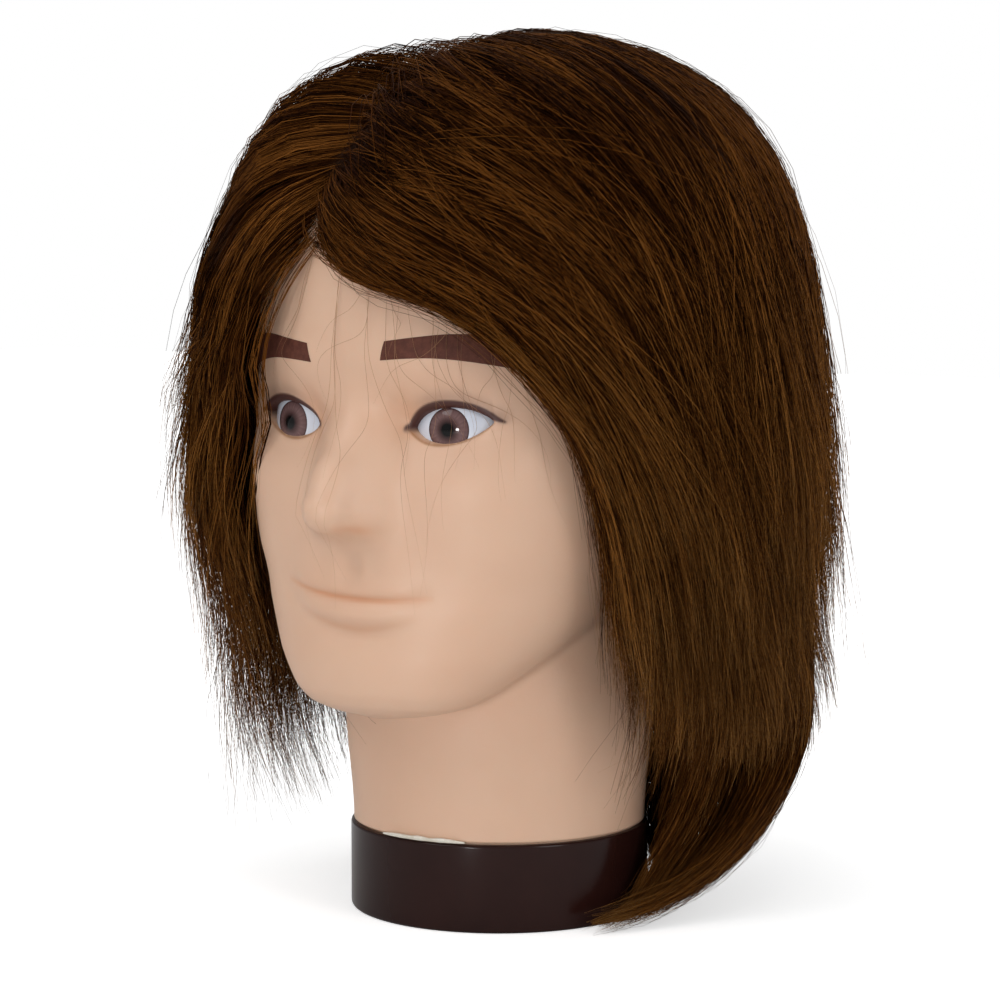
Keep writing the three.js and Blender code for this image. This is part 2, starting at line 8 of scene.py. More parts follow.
import bpy
import numpy as np
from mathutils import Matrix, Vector


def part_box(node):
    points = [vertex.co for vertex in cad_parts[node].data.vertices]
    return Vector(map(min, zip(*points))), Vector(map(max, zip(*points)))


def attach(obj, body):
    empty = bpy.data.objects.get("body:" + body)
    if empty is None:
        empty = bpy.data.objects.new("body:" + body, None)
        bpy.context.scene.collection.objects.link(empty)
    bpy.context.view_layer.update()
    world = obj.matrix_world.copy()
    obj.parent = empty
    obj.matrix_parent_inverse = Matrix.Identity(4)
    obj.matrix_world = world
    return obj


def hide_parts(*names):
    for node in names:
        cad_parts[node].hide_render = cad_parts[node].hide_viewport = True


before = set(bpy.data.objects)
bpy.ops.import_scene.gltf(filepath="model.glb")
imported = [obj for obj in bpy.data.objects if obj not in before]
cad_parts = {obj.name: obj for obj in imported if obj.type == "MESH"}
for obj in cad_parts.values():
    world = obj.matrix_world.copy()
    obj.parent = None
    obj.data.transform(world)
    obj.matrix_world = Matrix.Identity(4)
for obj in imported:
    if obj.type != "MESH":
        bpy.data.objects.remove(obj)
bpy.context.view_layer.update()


def cup_axis():
    """Where the neck's axis meets the floor, metres."""
    low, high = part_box("base_cup")
    return np.array([(low[0] + high[0]) / 2, (low[1] + high[1]) / 2, 0.0])


MM = 0.001
AXIS = cup_axis()
RNG = np.random.default_rng(20260)

# -------------------- driving sizes, millimetres

CUP_R = 48.5
CUP_H = 28.0
CUP_INNER_R = 46.1
CUP_FLOOR_Z = 3.0
CUP_HOLE_R = 11.0         # the clamp socket's flange fills this hole
FLOOR_R = 42.2
FOOT_R = 43.0             # inner edge of the ring that the cup stands on
FOOT_RISE = 1.2           # how far the floor's underside is above the ring
CORNER_POINTS = 6         # in each rounded corner of the cup
CUP_SEGMENTS = 160
LEDGE_Z = 28.7            # where the skin steps out over the cup's rim
NECK_REBATE_R = 45.7
NECK_R = 47.5
NECK_FLARE = 2.7          # the neck's radius grows by this up to the jaw
EAR_MIDDLE = (72, 14, 150)
EAR_HALF_SIZE = (8, 16, 30)
EAR_LEAN = 0.375
CHIN_Z = 69.5
BROW_Z = 185.0            # above this the skull closes as one superellipsoid
CROWN_Z = 270.0
SKULL_MIDDLE = (0.0, 10.0, 185.0)      # rays that look for the scalp start here
RAY_START_Y = 8.0         # rays that look for the skin start at this depth
RAY_TOP_Z = 150.0         # and no higher than this
RAY_REACH = 150.0
HALVINGS = 14             # how often a ray's last step is halved

EYE = np.array([26.3, -51.8, 160.1])   # middle of the ball that the left eye's dome is cut from
EYE_SPLAY = 0.20
EYE_R = 19.0
EYE_WHITE_R = 15.2        # how far the white reaches under the lids
EYE_SEGMENTS = 72
IRIS_R = 6.6
LENS_BULGE = 1.55
LID_X = 30.4              # middle of the opening between the lids
LID_HALF = 13.0
LID_DEPTH = 4.6           # how far the lids' edges turn in

# Height, half width, y of the widest point, front, back, squareness.
HEAD_STATIONS = np.array([
    (69.5, 8, -62, -67, -57, 2.1),
    (71.5, 20, -60, -73, -50, 2.15),
    (74, 28.5, -57, -77, -44, 2.2),
    (78, 34.5, -53, -79.3, -38, 2.25),
    (83, 39.5, -48, -80, -30, 2.3),
    (89, 45, -42, -80.3, -20, 2.3),
    (96, 50.5, -34, -80, -6, 2.3),
    (104, 56, -25, -80, 14, 2.3),
    (112, 60.5, -17, -80, 34, 2.3),
    (122, 65.5, -11, -80, 60, 2.35),
    (135, 69.5, -3, -79.5, 83, 2.4),
    (150, 72, 4, -79.5, 95, 2.4),
    (165, 73.2, 10, -79.5, 101, 2.35),
    (185, 74, 16, -81.5, 103, 2.25),
    (195, 74, 16, -81.5, 103, 2.25),
])


# -------------------- small maths

def smooth(t):
    """0 below t = 0 and 1 above t = 1, with an easy slope between."""
    t = np.clip(t, 0, 1)
    return t * t * (3 - 2 * t)


def bell(x, width):
    return np.exp(-((x / width) ** 2))


def unit(v):
    """Vectors of length one, along the last axis."""
    return v / (np.linalg.norm(v, axis=-1, keepdims=True) + 1e-9)


def smooth_min(a, b, k):
    """The smaller of two distances, rounded where they are within k of each other."""
    h = np.maximum(k - np.abs(a - b), 0) / k
    return np.minimum(a, b) - h * h * k * 0.25


def station_at(stations, z):
    """Rows of a station table at heights z, by Catmull-Rom interpolation."""
    heights = stations[:, 0]
    last = len(heights) - 1
    i = np.clip(np.searchsorted(heights, z, side="right") - 1, 0, last - 1)
    p0, p1 = stations[np.maximum(i - 1, 0)], stations[i]
    p2, p3 = stations[i + 1], stations[np.minimum(i + 2, last)]
    t = np.clip((z - heights[i]) / (heights[i + 1] - heights[i]), 0, 1)[:, None]
    value = 0.5 * (2 * p1 + (p2 - p0) * t + (2 * p0 - 5 * p1 + 4 * p2 - p3) * t ** 2
                   + (3 * p1 - p0 - 3 * p2 + p3) * t ** 3)
    return value[:, 1:].T


def stationed_body(stations, top_z, crown_z, p):
    """Distance from a body of superelliptic level sections that closes as a dome above top_z."""
    x, y, z = p.T
    a, widest, front, back, power = station_at(stations, np.minimum(z, top_z))
    depth = np.where(y < widest, widest - front, back - widest)
    up = np.maximum(z - top_z, 0)
    gauge = (np.abs(x / a) ** power + np.abs((y - widest) / depth) ** power
             + (up / (crown_z - top_z)) ** power) ** (1 / power)
    reach = np.sqrt(x * x + (y - widest) ** 2 + up * up) + 1e-6
    return reach - reach / np.maximum(gauge, 1e-6)


def rod(p, start, end, r_start, r_end):
    """Distance from a tapered rod with round ends."""
    start, end = np.array(start, float), np.array(end, float)
    along = end - start
    t = np.clip((p - start) @ along / (along @ along), 0, 1)
    return np.linalg.norm(p - start - t[:, None] * along, axis=1) - (r_start + (r_end - r_start) * t)


def ball(p, centre, r):
    return np.linalg.norm(p - np.array(centre, float), axis=1) - r


# -------------------- the head's surface

def lid_corner_z(u):
    """Height of the line from the lids' inner corner (u = -1) to the outer one (u = 1)."""
    return 160.0 + 1.35 * (u + 1)


def lid_gap(x, z):
    """How far a point of the front view is outside the opening between the lids; negative inside."""
    side = np.abs(x)
    u = (side - LID_X) / LID_HALF
    corner_line = lid_corner_z(u)
    inside = np.clip(1 - u ** 2, 0, 1)
    top = corner_line + 5.7 * inside ** 0.75 * (1 - 0.16 * u)
    bottom = corner_line - 5.4 * inside ** 0.8 * (1 - 0.10 * u)
    vertical = np.maximum(z - top, bottom - z)
    beyond = np.maximum(np.abs(u) - 1, 0) * LID_HALF
    return np.where(beyond > 0, np.hypot(beyond, z - corner_line), 0.85 * vertical)


def mouth_line(x):
    """Height of the line between the lips."""
    return 108.2 + 2.1 * (x / 26) ** 2 - 1.2 * x / 26


def chin_line(x):
    """Height of the fold under the lower lip, which curves up to the corners of the mouth."""
    return 98.2 + 6.5 * (x / 24) ** 2 - 1.3 * x / 24


# Soft rises and hollows of the face: height, distance to each side, width, z, width along z.
RELIEF = [
    (-6.4, 29, 16, 160.5, 10.5),       # eye sockets
    (-3.0, 17, 7, 161, 8),             # inner corners
    (-2.0, 0, 9, 167, 8),              # root of the nose
    (1.7, 24, 20, 182, 7),             # brow ridge
    (2.0, 44, 14, 142, 13),            # cheekbones
    (-1.3, 28, 10, 119, 11),           # beside the mouth
    (-0.6, 24, 5, 109, 3.5),           # corners of the mouth
    (0.8, 0, 18, 84, 8),               # chin
    (-0.5, 0, 3.2, 118, 5),            # philtrum
    (0.4, 6, 2.6, 118, 5),
]


def face_relief(x, z):
    """How far the face stands forward of its plain section, at a place in the front view."""
    side = np.abs(x)
    out = 0.8 * bell(lid_gap(x, z) - 0.6, 2.4)                  # lids
    for height, aside, width, middle, tall in RELIEF:
        out += height * bell(side - aside, width) * bell(z - middle, tall)
    mouth = mouth_line(x)
    fade = np.clip(1 - (x / 27.5) ** 2, 0, 1)
    out += 1.3 * fade * bell(z - mouth - 3.2, 3.6)              # upper lip
    out += 2.4 * fade ** 1.5 * bell(z - mouth + 5.0, 4.4)       # lower lip
    out -= 1.1 * fade * bell(z - mouth, 1.3)                    # line between the lips
    return out - 1.9 * bell(x, 20) * bell(z - chin_line(x) + 0.8, 3.3)  # under the lower lip


def nose_distance(p, mirrored):
    """Distance from the nose: its ridge, the ball of its tip, its wings and its base."""
    d = rod(p, (0, -73.5, 165), (0, -85.5, 145), 4.6, 6.2)
    d = smooth_min(d, rod(p, (0, -85.5, 145), (0, -90.8, 136.2), 6.2, 7.6), 7)
    d = smooth_min(d, rod(mirrored, (5.0, -74, 152), (7.4, -82, 134), 4.0, 4.9), 9)
    return smooth_min(d, ball(p, (0, -84.5, 133.2), 4.2), 5)


def head_distance(p):
    """Distance from the skin's outer surface, millimetres."""
    x, y, z = p.T
    mirrored = np.column_stack([np.abs(x), y, z])
    pressed = p.copy()
    pressed[:, 1] += smooth((-y - 15) / 30) * face_relief(x, z)
    d = stationed_body(HEAD_STATIONS, BROW_Z, CROWN_Z, pressed)
    d = np.where(z < CHIN_Z, np.maximum(d, CHIN_Z - z), d)

    neck_r = np.where(z < LEDGE_Z, NECK_REBATE_R, NECK_R + NECK_FLARE * smooth((z - CUP_H) / 40))
    neck = np.maximum(np.hypot(x, y - 8 * smooth((z - 70) / 60)) - neck_r, z - 150)
    d = np.where(z > 57, smooth_min(d, neck, 11 * smooth((z - 57) / 8) + 0.01), np.minimum(d, neck))

    d = smooth_min(d, nose_distance(p, mirrored), 11)
    ear = (mirrored - EAR_MIDDLE) / EAR_HALF_SIZE
    ear[:, 1] -= EAR_LEAN * ear[:, 2]
    return smooth_min(d, (np.linalg.norm(ear, axis=1) - 1) * EAR_HALF_SIZE[0], 5)


def cast(distance, origin, way, level=0.0, start=20.0, step=2.5):
    """Where rays from inside a body meet distance = level."""
    near = np.full(len(origin), float(start))
    open_rays = np.ones(len(origin), bool)
    while open_rays.any() and near.max() < RAY_REACH:
        live = np.flatnonzero(open_rays)
        p = origin[live] + way[live] * (near[live] + step)[:, None]
        out = distance(p) > level
        near[live[~out]] += step
        open_rays[live[out]] = False
    far = near + step
    for _ in range(HALVINGS):
        middle = (near + far) / 2
        out = distance(origin + way * middle[:, None]) > level
        far = np.where(out, middle, far)
        near = np.where(out, near, middle)
    return origin + way * ((near + far) / 2)[:, None]


def front_y(x, z, lift=0.0):
    """y of the face's surface at places in the front view, lifted off it by a little."""
    origin = np.column_stack([x, np.full(len(x), -30.0), z])
    way = np.tile((0.0, -1.0, 0.0), (len(x), 1))
    return cast(head_distance, origin, way, level=lift, start=0, step=1.5)[:, 1]


# -------------------- meshes

def make_object(name, points_mm, faces, smooth_shading=True):
    """A mesh object from millimetres round the axis. faces is an array of quads or a list."""
    mesh = bpy.data.meshes.new(name)
    points = np.asarray(points_mm, float) * MM + AXIS
    mesh.from_pydata(points.tolist(), [], faces.tolist() if isinstance(faces, np.ndarray) else faces)
    mesh.update()
    if smooth_shading:
        mesh.shade_smooth()
    thing = bpy.data.objects.new(name, mesh)
    bpy.context.collection.objects.link(thing)
    return thing


def finish_piece(thing, material, slot, *nodes):
    """Gives a piece its material and body, and hides the CAD nodes that it stands for."""
    thing.data.materials.append(material)
    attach(thing, "root")
    if nodes:
        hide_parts(*nodes)


def paint_points(thing, name, channels):
    """Stores up to three channels for each point of a mesh as a colour attribute."""
    rgba = np.ones((len(channels), 4))
    rgba[:, :channels.shape[1]] = channels
    layer = thing.data.color_attributes.new(name, "FLOAT_COLOR", "POINT")
    layer.data.foreach_set("color", rgba.ravel())


def grid_faces(rows, columns, closed=True):
    """Quads of a grid stored row by row; closed joins the last column to the first."""
    r, c = np.meshgrid(np.arange(rows - 1), np.arange(columns if closed else columns - 1), indexing="ij")
    here = r * columns + c
    right = r * columns + (c + 1) % columns
    return np.stack([here, here + columns, right + columns, right], -1).reshape(-1, 4)


def full_turn(count):
    """Evenly spaced turns, radians."""
    return np.linspace(0, 2 * math.pi, count, endpoint=False)


def rings(profile, turns):
    """Points of one circle about Z after another, from [radius, height] pairs."""
    return np.concatenate([np.column_stack([r * np.cos(turns), r * np.sin(turns), np.full(len(turns), h)])
                           for r, h in profile])


def rounded(corners, radii):
    """A profile whose inner corners are rounded: corners as [radius, height], one radius each."""
    out = [corners[0]]
    for before, here, after, r in zip(corners, corners[1:], corners[2:], radii[1:]):
        here = np.array(here, float)
        a, b = unit(np.array(before) - here), unit(np.array(after) - here)
        if r <= 0:
            out.append(tuple(here))
            continue
        for t in np.linspace(0, 1, CORNER_POINTS):
            out.append(tuple(here + a * r * (1 - t) ** 2 + b * r * t ** 2))
    out.append(corners[-1])
    return out


# -------------------- materials

def new_material(name, **sockets):
    """A material with values set on its shader's own sockets."""
    material = bpy.data.materials.new(name)
    material.use_nodes = True
    shader = material.node_tree.nodes["Principled BSDF"]
    for key, value in sockets.items():
        shader.inputs[key.replace("_", " ")].default_value = value
    return material


class Graph:
    """Short calls for the nodes of a material or of the room."""

    def __init__(self, owner, shader="Principled BSDF"):
        self.tree = owner.node_tree
        self.shader = self.tree.nodes[shader]

    def node(self, kind, inputs=(), **settings):
        made = self.tree.nodes.new(kind)
        for key, value in settings.items():
            setattr(made, key, value)
        for key, value in dict(inputs).items():
            if hasattr(value, "is_output"):
                self.tree.links.new(value, made.inputs[key])
            else:
                made.inputs[key].default_value = value
        return made

    def link(self, output, socket):
        self.tree.links.new(output, self.shader.inputs[socket])

    def place(self):
        return self.node("ShaderNodeTexCoord").outputs["Object"]

    def noise(self, scale, detail=3.0, rough=0.5, vector=None):
        made = self.node("ShaderNodeTexNoise", {"Scale": scale, "Detail": detail, "Roughness": rough,
                                                "Vector": vector or self.place()})
        return made.outputs["Fac"]

    def ramp(self, value, stops):
        made = self.node("ShaderNodeValToRGB", {"Fac": value})
        elements = made.color_ramp.elements
        while len(elements) < len(stops):
            elements.new(0.5)
        for element, (at, colour) in zip(elements, stops):
            element.position = at
            element.color = (*colour, 1)
        return made.outputs["Color"]

    def mix(self, factor, a, b):
        made = self.node("ShaderNodeMix", data_type="RGBA")
        for socket, value in ((made.inputs[0], factor), (made.inputs[6], a), (made.inputs[7], b)):
            if hasattr(value, "is_output"):
                self.tree.links.new(value, socket)
            else:
                socket.default_value = value if isinstance(value, float) else (*value, 1)
        return made.outputs[2]

    def bump(self, height, strength, distance):
        made = self.node("ShaderNodeBump", {"Height": height, "Strength": strength, "Distance": distance})
        self.link(made.outputs["Normal"], "Normal")

    def two_tone(self, value, low, dark, high, light):
        """Base colour between two tones, reached at a low and a high value."""
        self.link(self.ramp(value, [(low, dark), (high, light)]), "Base Color")

    def mapped(self, value, low=0.0, high=1.0, to_low=0.0, to_high=1.0, kind="LINEAR"):
        inputs = {"Value": value, "From Min": low, "From Max": high, "To Min": to_low, "To Max": to_high}
        return self.node("ShaderNodeMapRange", inputs, interpolation_type=kind).outputs["Result"]

    def maths(self, operation, a, b=0.0):
        return self.node("ShaderNodeMath", {0: a, 1: b}, operation=operation).outputs["Value"]

    def seen(self):
        """1 for what the camera sees directly and 0 for bounced light."""
        return self.node("ShaderNodeLightPath").outputs["Is Camera Ray"]

    def channels(self, attribute):
        """The red, green and blue outputs of a colour attribute."""
        colour = self.node("ShaderNodeAttribute", attribute_name=attribute).outputs["Color"]
        return self.node("ShaderNodeSeparateColor", {"Color": colour}).outputs


SKIN_LIGHT = (0.665, 0.435, 0.305)
SKIN_WARM = (0.640, 0.402, 0.276)
# warm brown of the painted shade in the creases of the lips, under the nose and at the inner eye corners
PAINTED_CREASE_SHADE = (0.57, 0.240, 0.108)
LASH_BROWN = (0.36, 0.17, 0.07)
LINER_BROWN = (0.055, 0.013, 0.009)


def vinyl_material():
    """Smooth peach vinyl, with the sprayed eye paint and warm painted shade in the creases and hollows."""
    material = new_material("skin_vinyl", Roughness=0.46, Subsurface_Weight=0.18, Subsurface_Scale=0.004)
    g = Graph(material)
    g.shader.inputs["Subsurface Radius"].default_value = (1.0, 0.45, 0.3)
    tone = g.ramp(g.noise(22, 3, 0.55), [(0.3, SKIN_WARM), (0.7, SKIN_LIGHT)])
    paint = g.channels("paint")
    # the blue channel paints shade into the creases
    colour = g.mix(paint["Blue"], tone, PAINTED_CREASE_SHADE)
    colour = g.mix(paint["Green"], colour, LASH_BROWN)
    colour = g.mix(paint["Red"], colour, LINER_BROWN)
    g.link(colour, "Base Color")
    g.bump(g.noise(900, 2, 0.6), 0.06, 0.0004)
    g.link(g.mapped(g.noise(60, 3), to_low=0.42, to_high=0.52), "Roughness")
    return material


def paint_material():
    """Maroon-brown brow paint, sprayed through a stencil so that its body is a little mottled."""
    material = new_material("brow_paint", Roughness=0.6, Specular_IOR_Level=0.2)
    g = Graph(material)
    g.two_tone(g.noise(420, 4, 0.7), 0.30, (0.066, 0.019, 0.012), 0.70, (0.125, 0.040, 0.025))
    g.bump(g.noise(1500, 2), 0.08, 0.0002)
    return material


def cup_material():
    """Glossy dark maroon-brown moulded plastic with faint scuffs."""
    material = new_material("cup_plastic", Roughness=0.12, Specular_IOR_Level=0.18)
    g = Graph(material)
    g.two_tone(g.noise(35, 4, 0.6), 0.3, (0.015, 0.0044, 0.0034), 0.7, (0.021, 0.0066, 0.0052))
    g.link(g.mapped(g.noise(120, 5, 0.7), to_low=0.12, to_high=0.24), "Roughness")
    g.bump(g.noise(70, 2), 0.05, 0.0006)
    return material


def plain_material(name, dark, light, roughness, scale, bump):
    """A moulded or brushed-on material: two close tones and a fine relief."""
    material = new_material(name, Roughness=roughness)
    g = Graph(material)
    g.two_tone(g.noise(scale, 4, 0.6), 0.35, dark, 0.65, light)
    g.bump(g.noise(scale * 8, 3), bump, 0.0005)
    return material


def eye_white_material():
    """Bluish white enamel under a clear coat."""
    material = new_material("eye_white", Roughness=0.08, Coat_Weight=0.8, Coat_Roughness=0.02)
    g = Graph(material)
    g.two_tone(g.noise(90, 3, 0.5), 0.3, (0.60, 0.63, 0.72), 0.7, (0.70, 0.72, 0.78))
    return material


def iris_material(name):
    """Mauve-brown iris: a soft dark pupil, fine spokes and a darker rim, all round the eye's axis."""
    material = new_material(name, Roughness=0.5, Specular_IOR_Level=0.0, Coat_Weight=1.0,
                            Coat_Roughness=0.02, Coat_IOR=1.33)
    g = Graph(material)
    spoke = g.channels("spoke")
    flesh = g.ramp(spoke["Red"], [
        (0.24, (0.0006, 0.0006, 0.0006)), (0.44, (0.060, 0.028, 0.027)), (0.62, (0.125, 0.068, 0.066)),
        (0.88, (0.112, 0.058, 0.058)), (0.97, (0.045, 0.020, 0.021)),
    ])
    streaks = g.ramp(spoke["Red"], [
        (0.27, (0.0006, 0.0006, 0.0006)), (0.48, (0.085, 0.043, 0.041)), (0.70, (0.190, 0.112, 0.106)),
        (0.90, (0.150, 0.085, 0.082)), (0.98, (0.060, 0.028, 0.028)),
    ])
    g.link(g.mix(spoke["Green"], flesh, streaks), "Base Color")
    return material


# -------------------- skin

def head_rows():
    """Start height, start depth and slope of each row of rays, from the neck's end to the crown."""
    neck = [14, 18, 22, 26, 28, 28.5, 28.65, 28.8, 29.3, 30.2]
    neck += list(np.linspace(32, 60, 10))
    jaw = np.linspace(61.2, 94, 28)
    face = np.linspace(94.8, 149.4, 74)
    heights = np.concatenate([neck, jaw, face])
    slope = -0.30 * smooth((150 - heights) / 32) * smooth((heights - 42) / 28)
    lower = np.column_stack([heights - 90 * slope, RAY_START_Y * np.clip((heights - 60) / 90, 0, 1), slope])
    tilt = np.radians(np.concatenate([
        np.linspace(0, 15, 62), np.linspace(15.5, 24, 16), np.linspace(25.6, 88.6, 40),
    ]))
    upper = np.column_stack([np.full(len(tilt), RAY_TOP_Z), np.full(len(tilt), RAY_START_Y), np.tan(tilt)])
    return np.concatenate([lower, upper])


def head_turns():
    """Turns of the columns about +Z from the front, packed at the eyes and the nose."""
    half = np.radians(np.concatenate([
        np.linspace(0, 8.5, 18), np.linspace(8.8, 37, 98),
        np.linspace(38, 70, 32), np.linspace(73, 177, 36),
    ]))
    return np.concatenate([half, [math.pi], -half[:0:-1]])


def lid_lean(x, z):
    """Moves places close to the lids' edge onto it, so that the opening has a clean outline."""
    for _ in range(2):
        gap = lid_gap(x, z)
        gx = (lid_gap(x + 0.02, z) - lid_gap(x - 0.02, z)) / 0.04
        gz = (lid_gap(x, z + 0.02) - lid_gap(x, z - 0.02)) / 0.04
        steep = np.maximum(gx ** 2 + gz ** 2, 0.3)
        x, z = x - gap * gx / steep, z - gap * gz / steep
    return x, z


def stroke_gap(x, z, knots):
    """How far places are outside a brush stroke through knots of [x, z, half width]."""
    p = np.column_stack([x, z])
    return np.min([rod(p, a[:2], b[:2], a[2], b[2]) for a, b in zip(knots, knots[1:])], axis=0)


def skin_paint_and_shade(p):
    """Masks for the skin's paint: liner, lower lash line, and warm painted shade in the creases. One row a
    point.
    """
    x, y, z = p.T
    side = np.abs(x)
    gap = lid_gap(x, z)
    u = (side - LID_X) / LID_HALF
    corner_line = lid_corner_z(u)
    above = smooth((z - corner_line + 1.8) / 2.4)
    thick = 1.9 + 0.2 * u
    liner = above * smooth((thick - gap) / 0.9 + 0.5) * (u < 1.0)
    tail = stroke_gap(side, z, [(37.5, 166.4, 1.4), (42.5, 164.6, 1.3), (46.2, 162.8, 0.5)])
    liner = np.maximum(liner, smooth(0.5 - tail) * (gap > -1))
    haze = 0.32 * above * bell(gap - 2.2, 2.4) * smooth((u + 1.1) / 0.8)
    liner = np.maximum(liner, haze)

    lower = (1 - above) * smooth((0.75 - gap) / 0.5 + 0.2) * smooth((gap + 0.1) / 0.2) * (np.abs(u) < 1.08)
    lower = 0.85 * lower + 0.3 * bell(side - 16.5, 3) * bell(z - 159.5, 3.5)

    fade = np.clip(1 - (x / 28) ** 2, 0, 1) ** 0.5
    # painted shade: along the line between the lips and under the upper lip, under the lower lip, under the
    # nose's wings and in the inner corners of the eyes
    painted_shade = 0.70 * fade * bell(z - mouth_line(x), 0.85) + 0.12 * fade * bell(z - mouth_line(x) - 1.2, 2.2)
    painted_shade += 0.22 * np.clip(1 - (x / 24) ** 2, 0, 1) * bell(z - chin_line(x) - 0.6, 1.3)
    painted_shade += 0.42 * bell(side - 8.5, 3.6) * bell(z - 130.0, 1.7) * (y < -70)
    painted_shade += 0.26 * bell(side - 17, 8) * bell(z - 164, 7)
    front = y < -35
    return np.column_stack([liner * front, lower * front, np.clip(painted_shade, 0, 1) * front])


def build_skin(material):
    """The vinyl head: rays meet its surface, and the lid openings are cut out and turned inwards."""
    rows, turns = head_rows(), head_turns()
    columns = len(turns)
    start_z, start_y, slope = (np.repeat(v, columns) for v in rows.T)
    turn = np.tile(turns, len(rows))
    origin = np.column_stack([np.zeros(len(turn)), start_y, start_z])
    way = unit(np.column_stack([np.sin(turn), -np.cos(turn), slope]))
    points = cast(head_distance, origin, way)

    gap = lid_gap(points[:, 0], points[:, 2])
    facing = points[:, 1] < -45
    near = np.flatnonzero(facing & (np.abs(gap) < 0.21))
    x, z = lid_lean(points[near, 0], points[near, 2])
    points[near] = np.column_stack([x, front_y(x, z), z])
    gap[near] = 0
    paint = skin_paint_and_shade(points)
    sunk = LID_DEPTH * smooth(-gap / 0.95) * (gap < 0) + 0.4 * bell(gap, 0.45)
    points[:, 1] += sunk * facing

    faces = grid_faces(len(rows), columns)
    hidden = facing & (gap < -1.15)
    faces = faces[~hidden[faces].all(axis=1)]
    top = len(points)
    points = np.vstack([points, (0, 8, CROWN_Z)])
    last = (len(rows) - 1) * columns
    fan = [(last + c, top, last + (c + 1) % columns) for c in range(columns)]
    skin = make_object("skin_vinyl", points, faces[:, ::-1].tolist() + fan)

    paint_points(skin, "paint", np.vstack([paint, (0, 0, 0)]))
    finish_piece(skin, material, "skin", "head_skin")


# -------------------- brows and eyes

def curve(u, knots):
    """Places u (0 to 1) along a smooth curve through evenly weighted knots, as one array a coordinate."""
    knots = np.array(knots, float)
    table = np.column_stack([np.linspace(0, 1, len(knots)), knots])
    return station_at(table, u)


# Edges of the left brow in the front view.
BROW_BOTTOM = [(13.2, 180.9), (22, 181.6), (31, 181.7), (41, 180.4), (51, 177.8), (58.5, 173.6)]
BROW_TOP = [(14.6, 186.7), (24, 188.0), (34, 189.0), (43, 188.4), (51.5, 184.2), (59, 175.2)]
RIGHT_BROW_DROP = 1.2


def build_brow(side, material):
    """One stencilled brow, lying on the skin."""
    drop = 0 if side > 0 else RIGHT_BROW_DROP
    u = np.linspace(0, 1, 90)
    across = np.linspace(0, 1, 9)
    bottom_x, bottom_z = curve(u, BROW_BOTTOM)
    top_x, top_z = curve(u, BROW_TOP)
    x = (bottom_x + (top_x - bottom_x) * across[:, None]).ravel() * side
    z = (bottom_z + (top_z - bottom_z) * across[:, None]).ravel() - drop
    points = np.column_stack([x, front_y(x, z, lift=0.07), z])
    faces = grid_faces(len(across), len(u), closed=False)
    name = "brow_left" if side > 0 else "brow_right"
    finish_piece(make_object(name, points, faces if side < 0 else faces[:, ::-1]), material, "skin")


def eye_frame(side):
    """Matrix whose columns are the eye's right, up and outward axes."""
    out = np.array([math.sin(EYE_SPLAY) * side, -math.cos(EYE_SPLAY), 0])
    up = np.array([0, 0, 1.0])
    return np.column_stack([np.cross(up, out), up, out])


def eye_dome(name, side, radii, depths):
    """A dome about an eye's axis, as rings at radii and depths."""
    local = rings(zip(radii, depths), full_turn(EYE_SEGMENTS))
    points = local @ eye_frame(side).T + EYE * (side, 1, 1)
    return make_object(name, points, grid_faces(len(radii), EYE_SEGMENTS))


def build_eye(side, white, iris):
    """The white of an eye and the lens over its iris, with masks for the iris's rings and spokes."""
    suffix = "left" if side > 0 else "right"
    radii = np.linspace(EYE_WHITE_R, IRIS_R + 0.02, 30)
    dome = eye_dome(f"eye_white_{suffix}", side, radii, np.sqrt(EYE_R ** 2 - radii ** 2))
    finish_piece(dome, white, "eye_white", f"eye_dome_{suffix}")

    lens_r = IRIS_R + 0.1
    edge = math.sqrt(EYE_R ** 2 - IRIS_R ** 2) - 0.15
    radii = np.linspace(lens_r, 0.02, 34)
    lens = eye_dome(f"iris_lens_{suffix}", side, radii, edge + LENS_BULGE * (1 - (radii / lens_r) ** 2))
    radius = np.repeat(radii, EYE_SEGMENTS)
    turn = np.tile(full_turn(EYE_SEGMENTS), len(radii))
    streak = (np.sin(turn * 37) + np.sin(turn * 23 + 1)) / 4 + 0.5
    paint_points(lens, "spoke", np.column_stack([radius / lens_r, streak]))
    finish_piece(lens, iris, "iris", f"iris_{suffix}", f"pupil_{suffix}", f"cornea_{suffix}")


# -------------------- base

def build_cup(material):
    """The cup, turned in one piece with its floor and its foot ring."""
    corners = [
        (CUP_HOLE_R, CUP_FLOOR_Z), (CUP_HOLE_R, FOOT_RISE), (FLOOR_R, FOOT_RISE), (FOOT_R, 0),
        (CUP_R, 0), (CUP_R, CUP_H), (CUP_INNER_R, CUP_H), (CUP_INNER_R, CUP_FLOOR_Z),
        (CUP_HOLE_R, CUP_FLOOR_Z),
    ]
    profile = rounded(corners, [0, 0.3, 0.3, 0.3, 1.3, 0.9, 0.5, 0.8, 0])
    turns = full_turn(CUP_SEGMENTS) - math.pi / 2
    cup = make_object("cup_moulding", rings(profile, turns),
                      grid_faces(len(profile), CUP_SEGMENTS)[:, ::-1])
    finish_piece(cup, material, "cup", "base_cup")


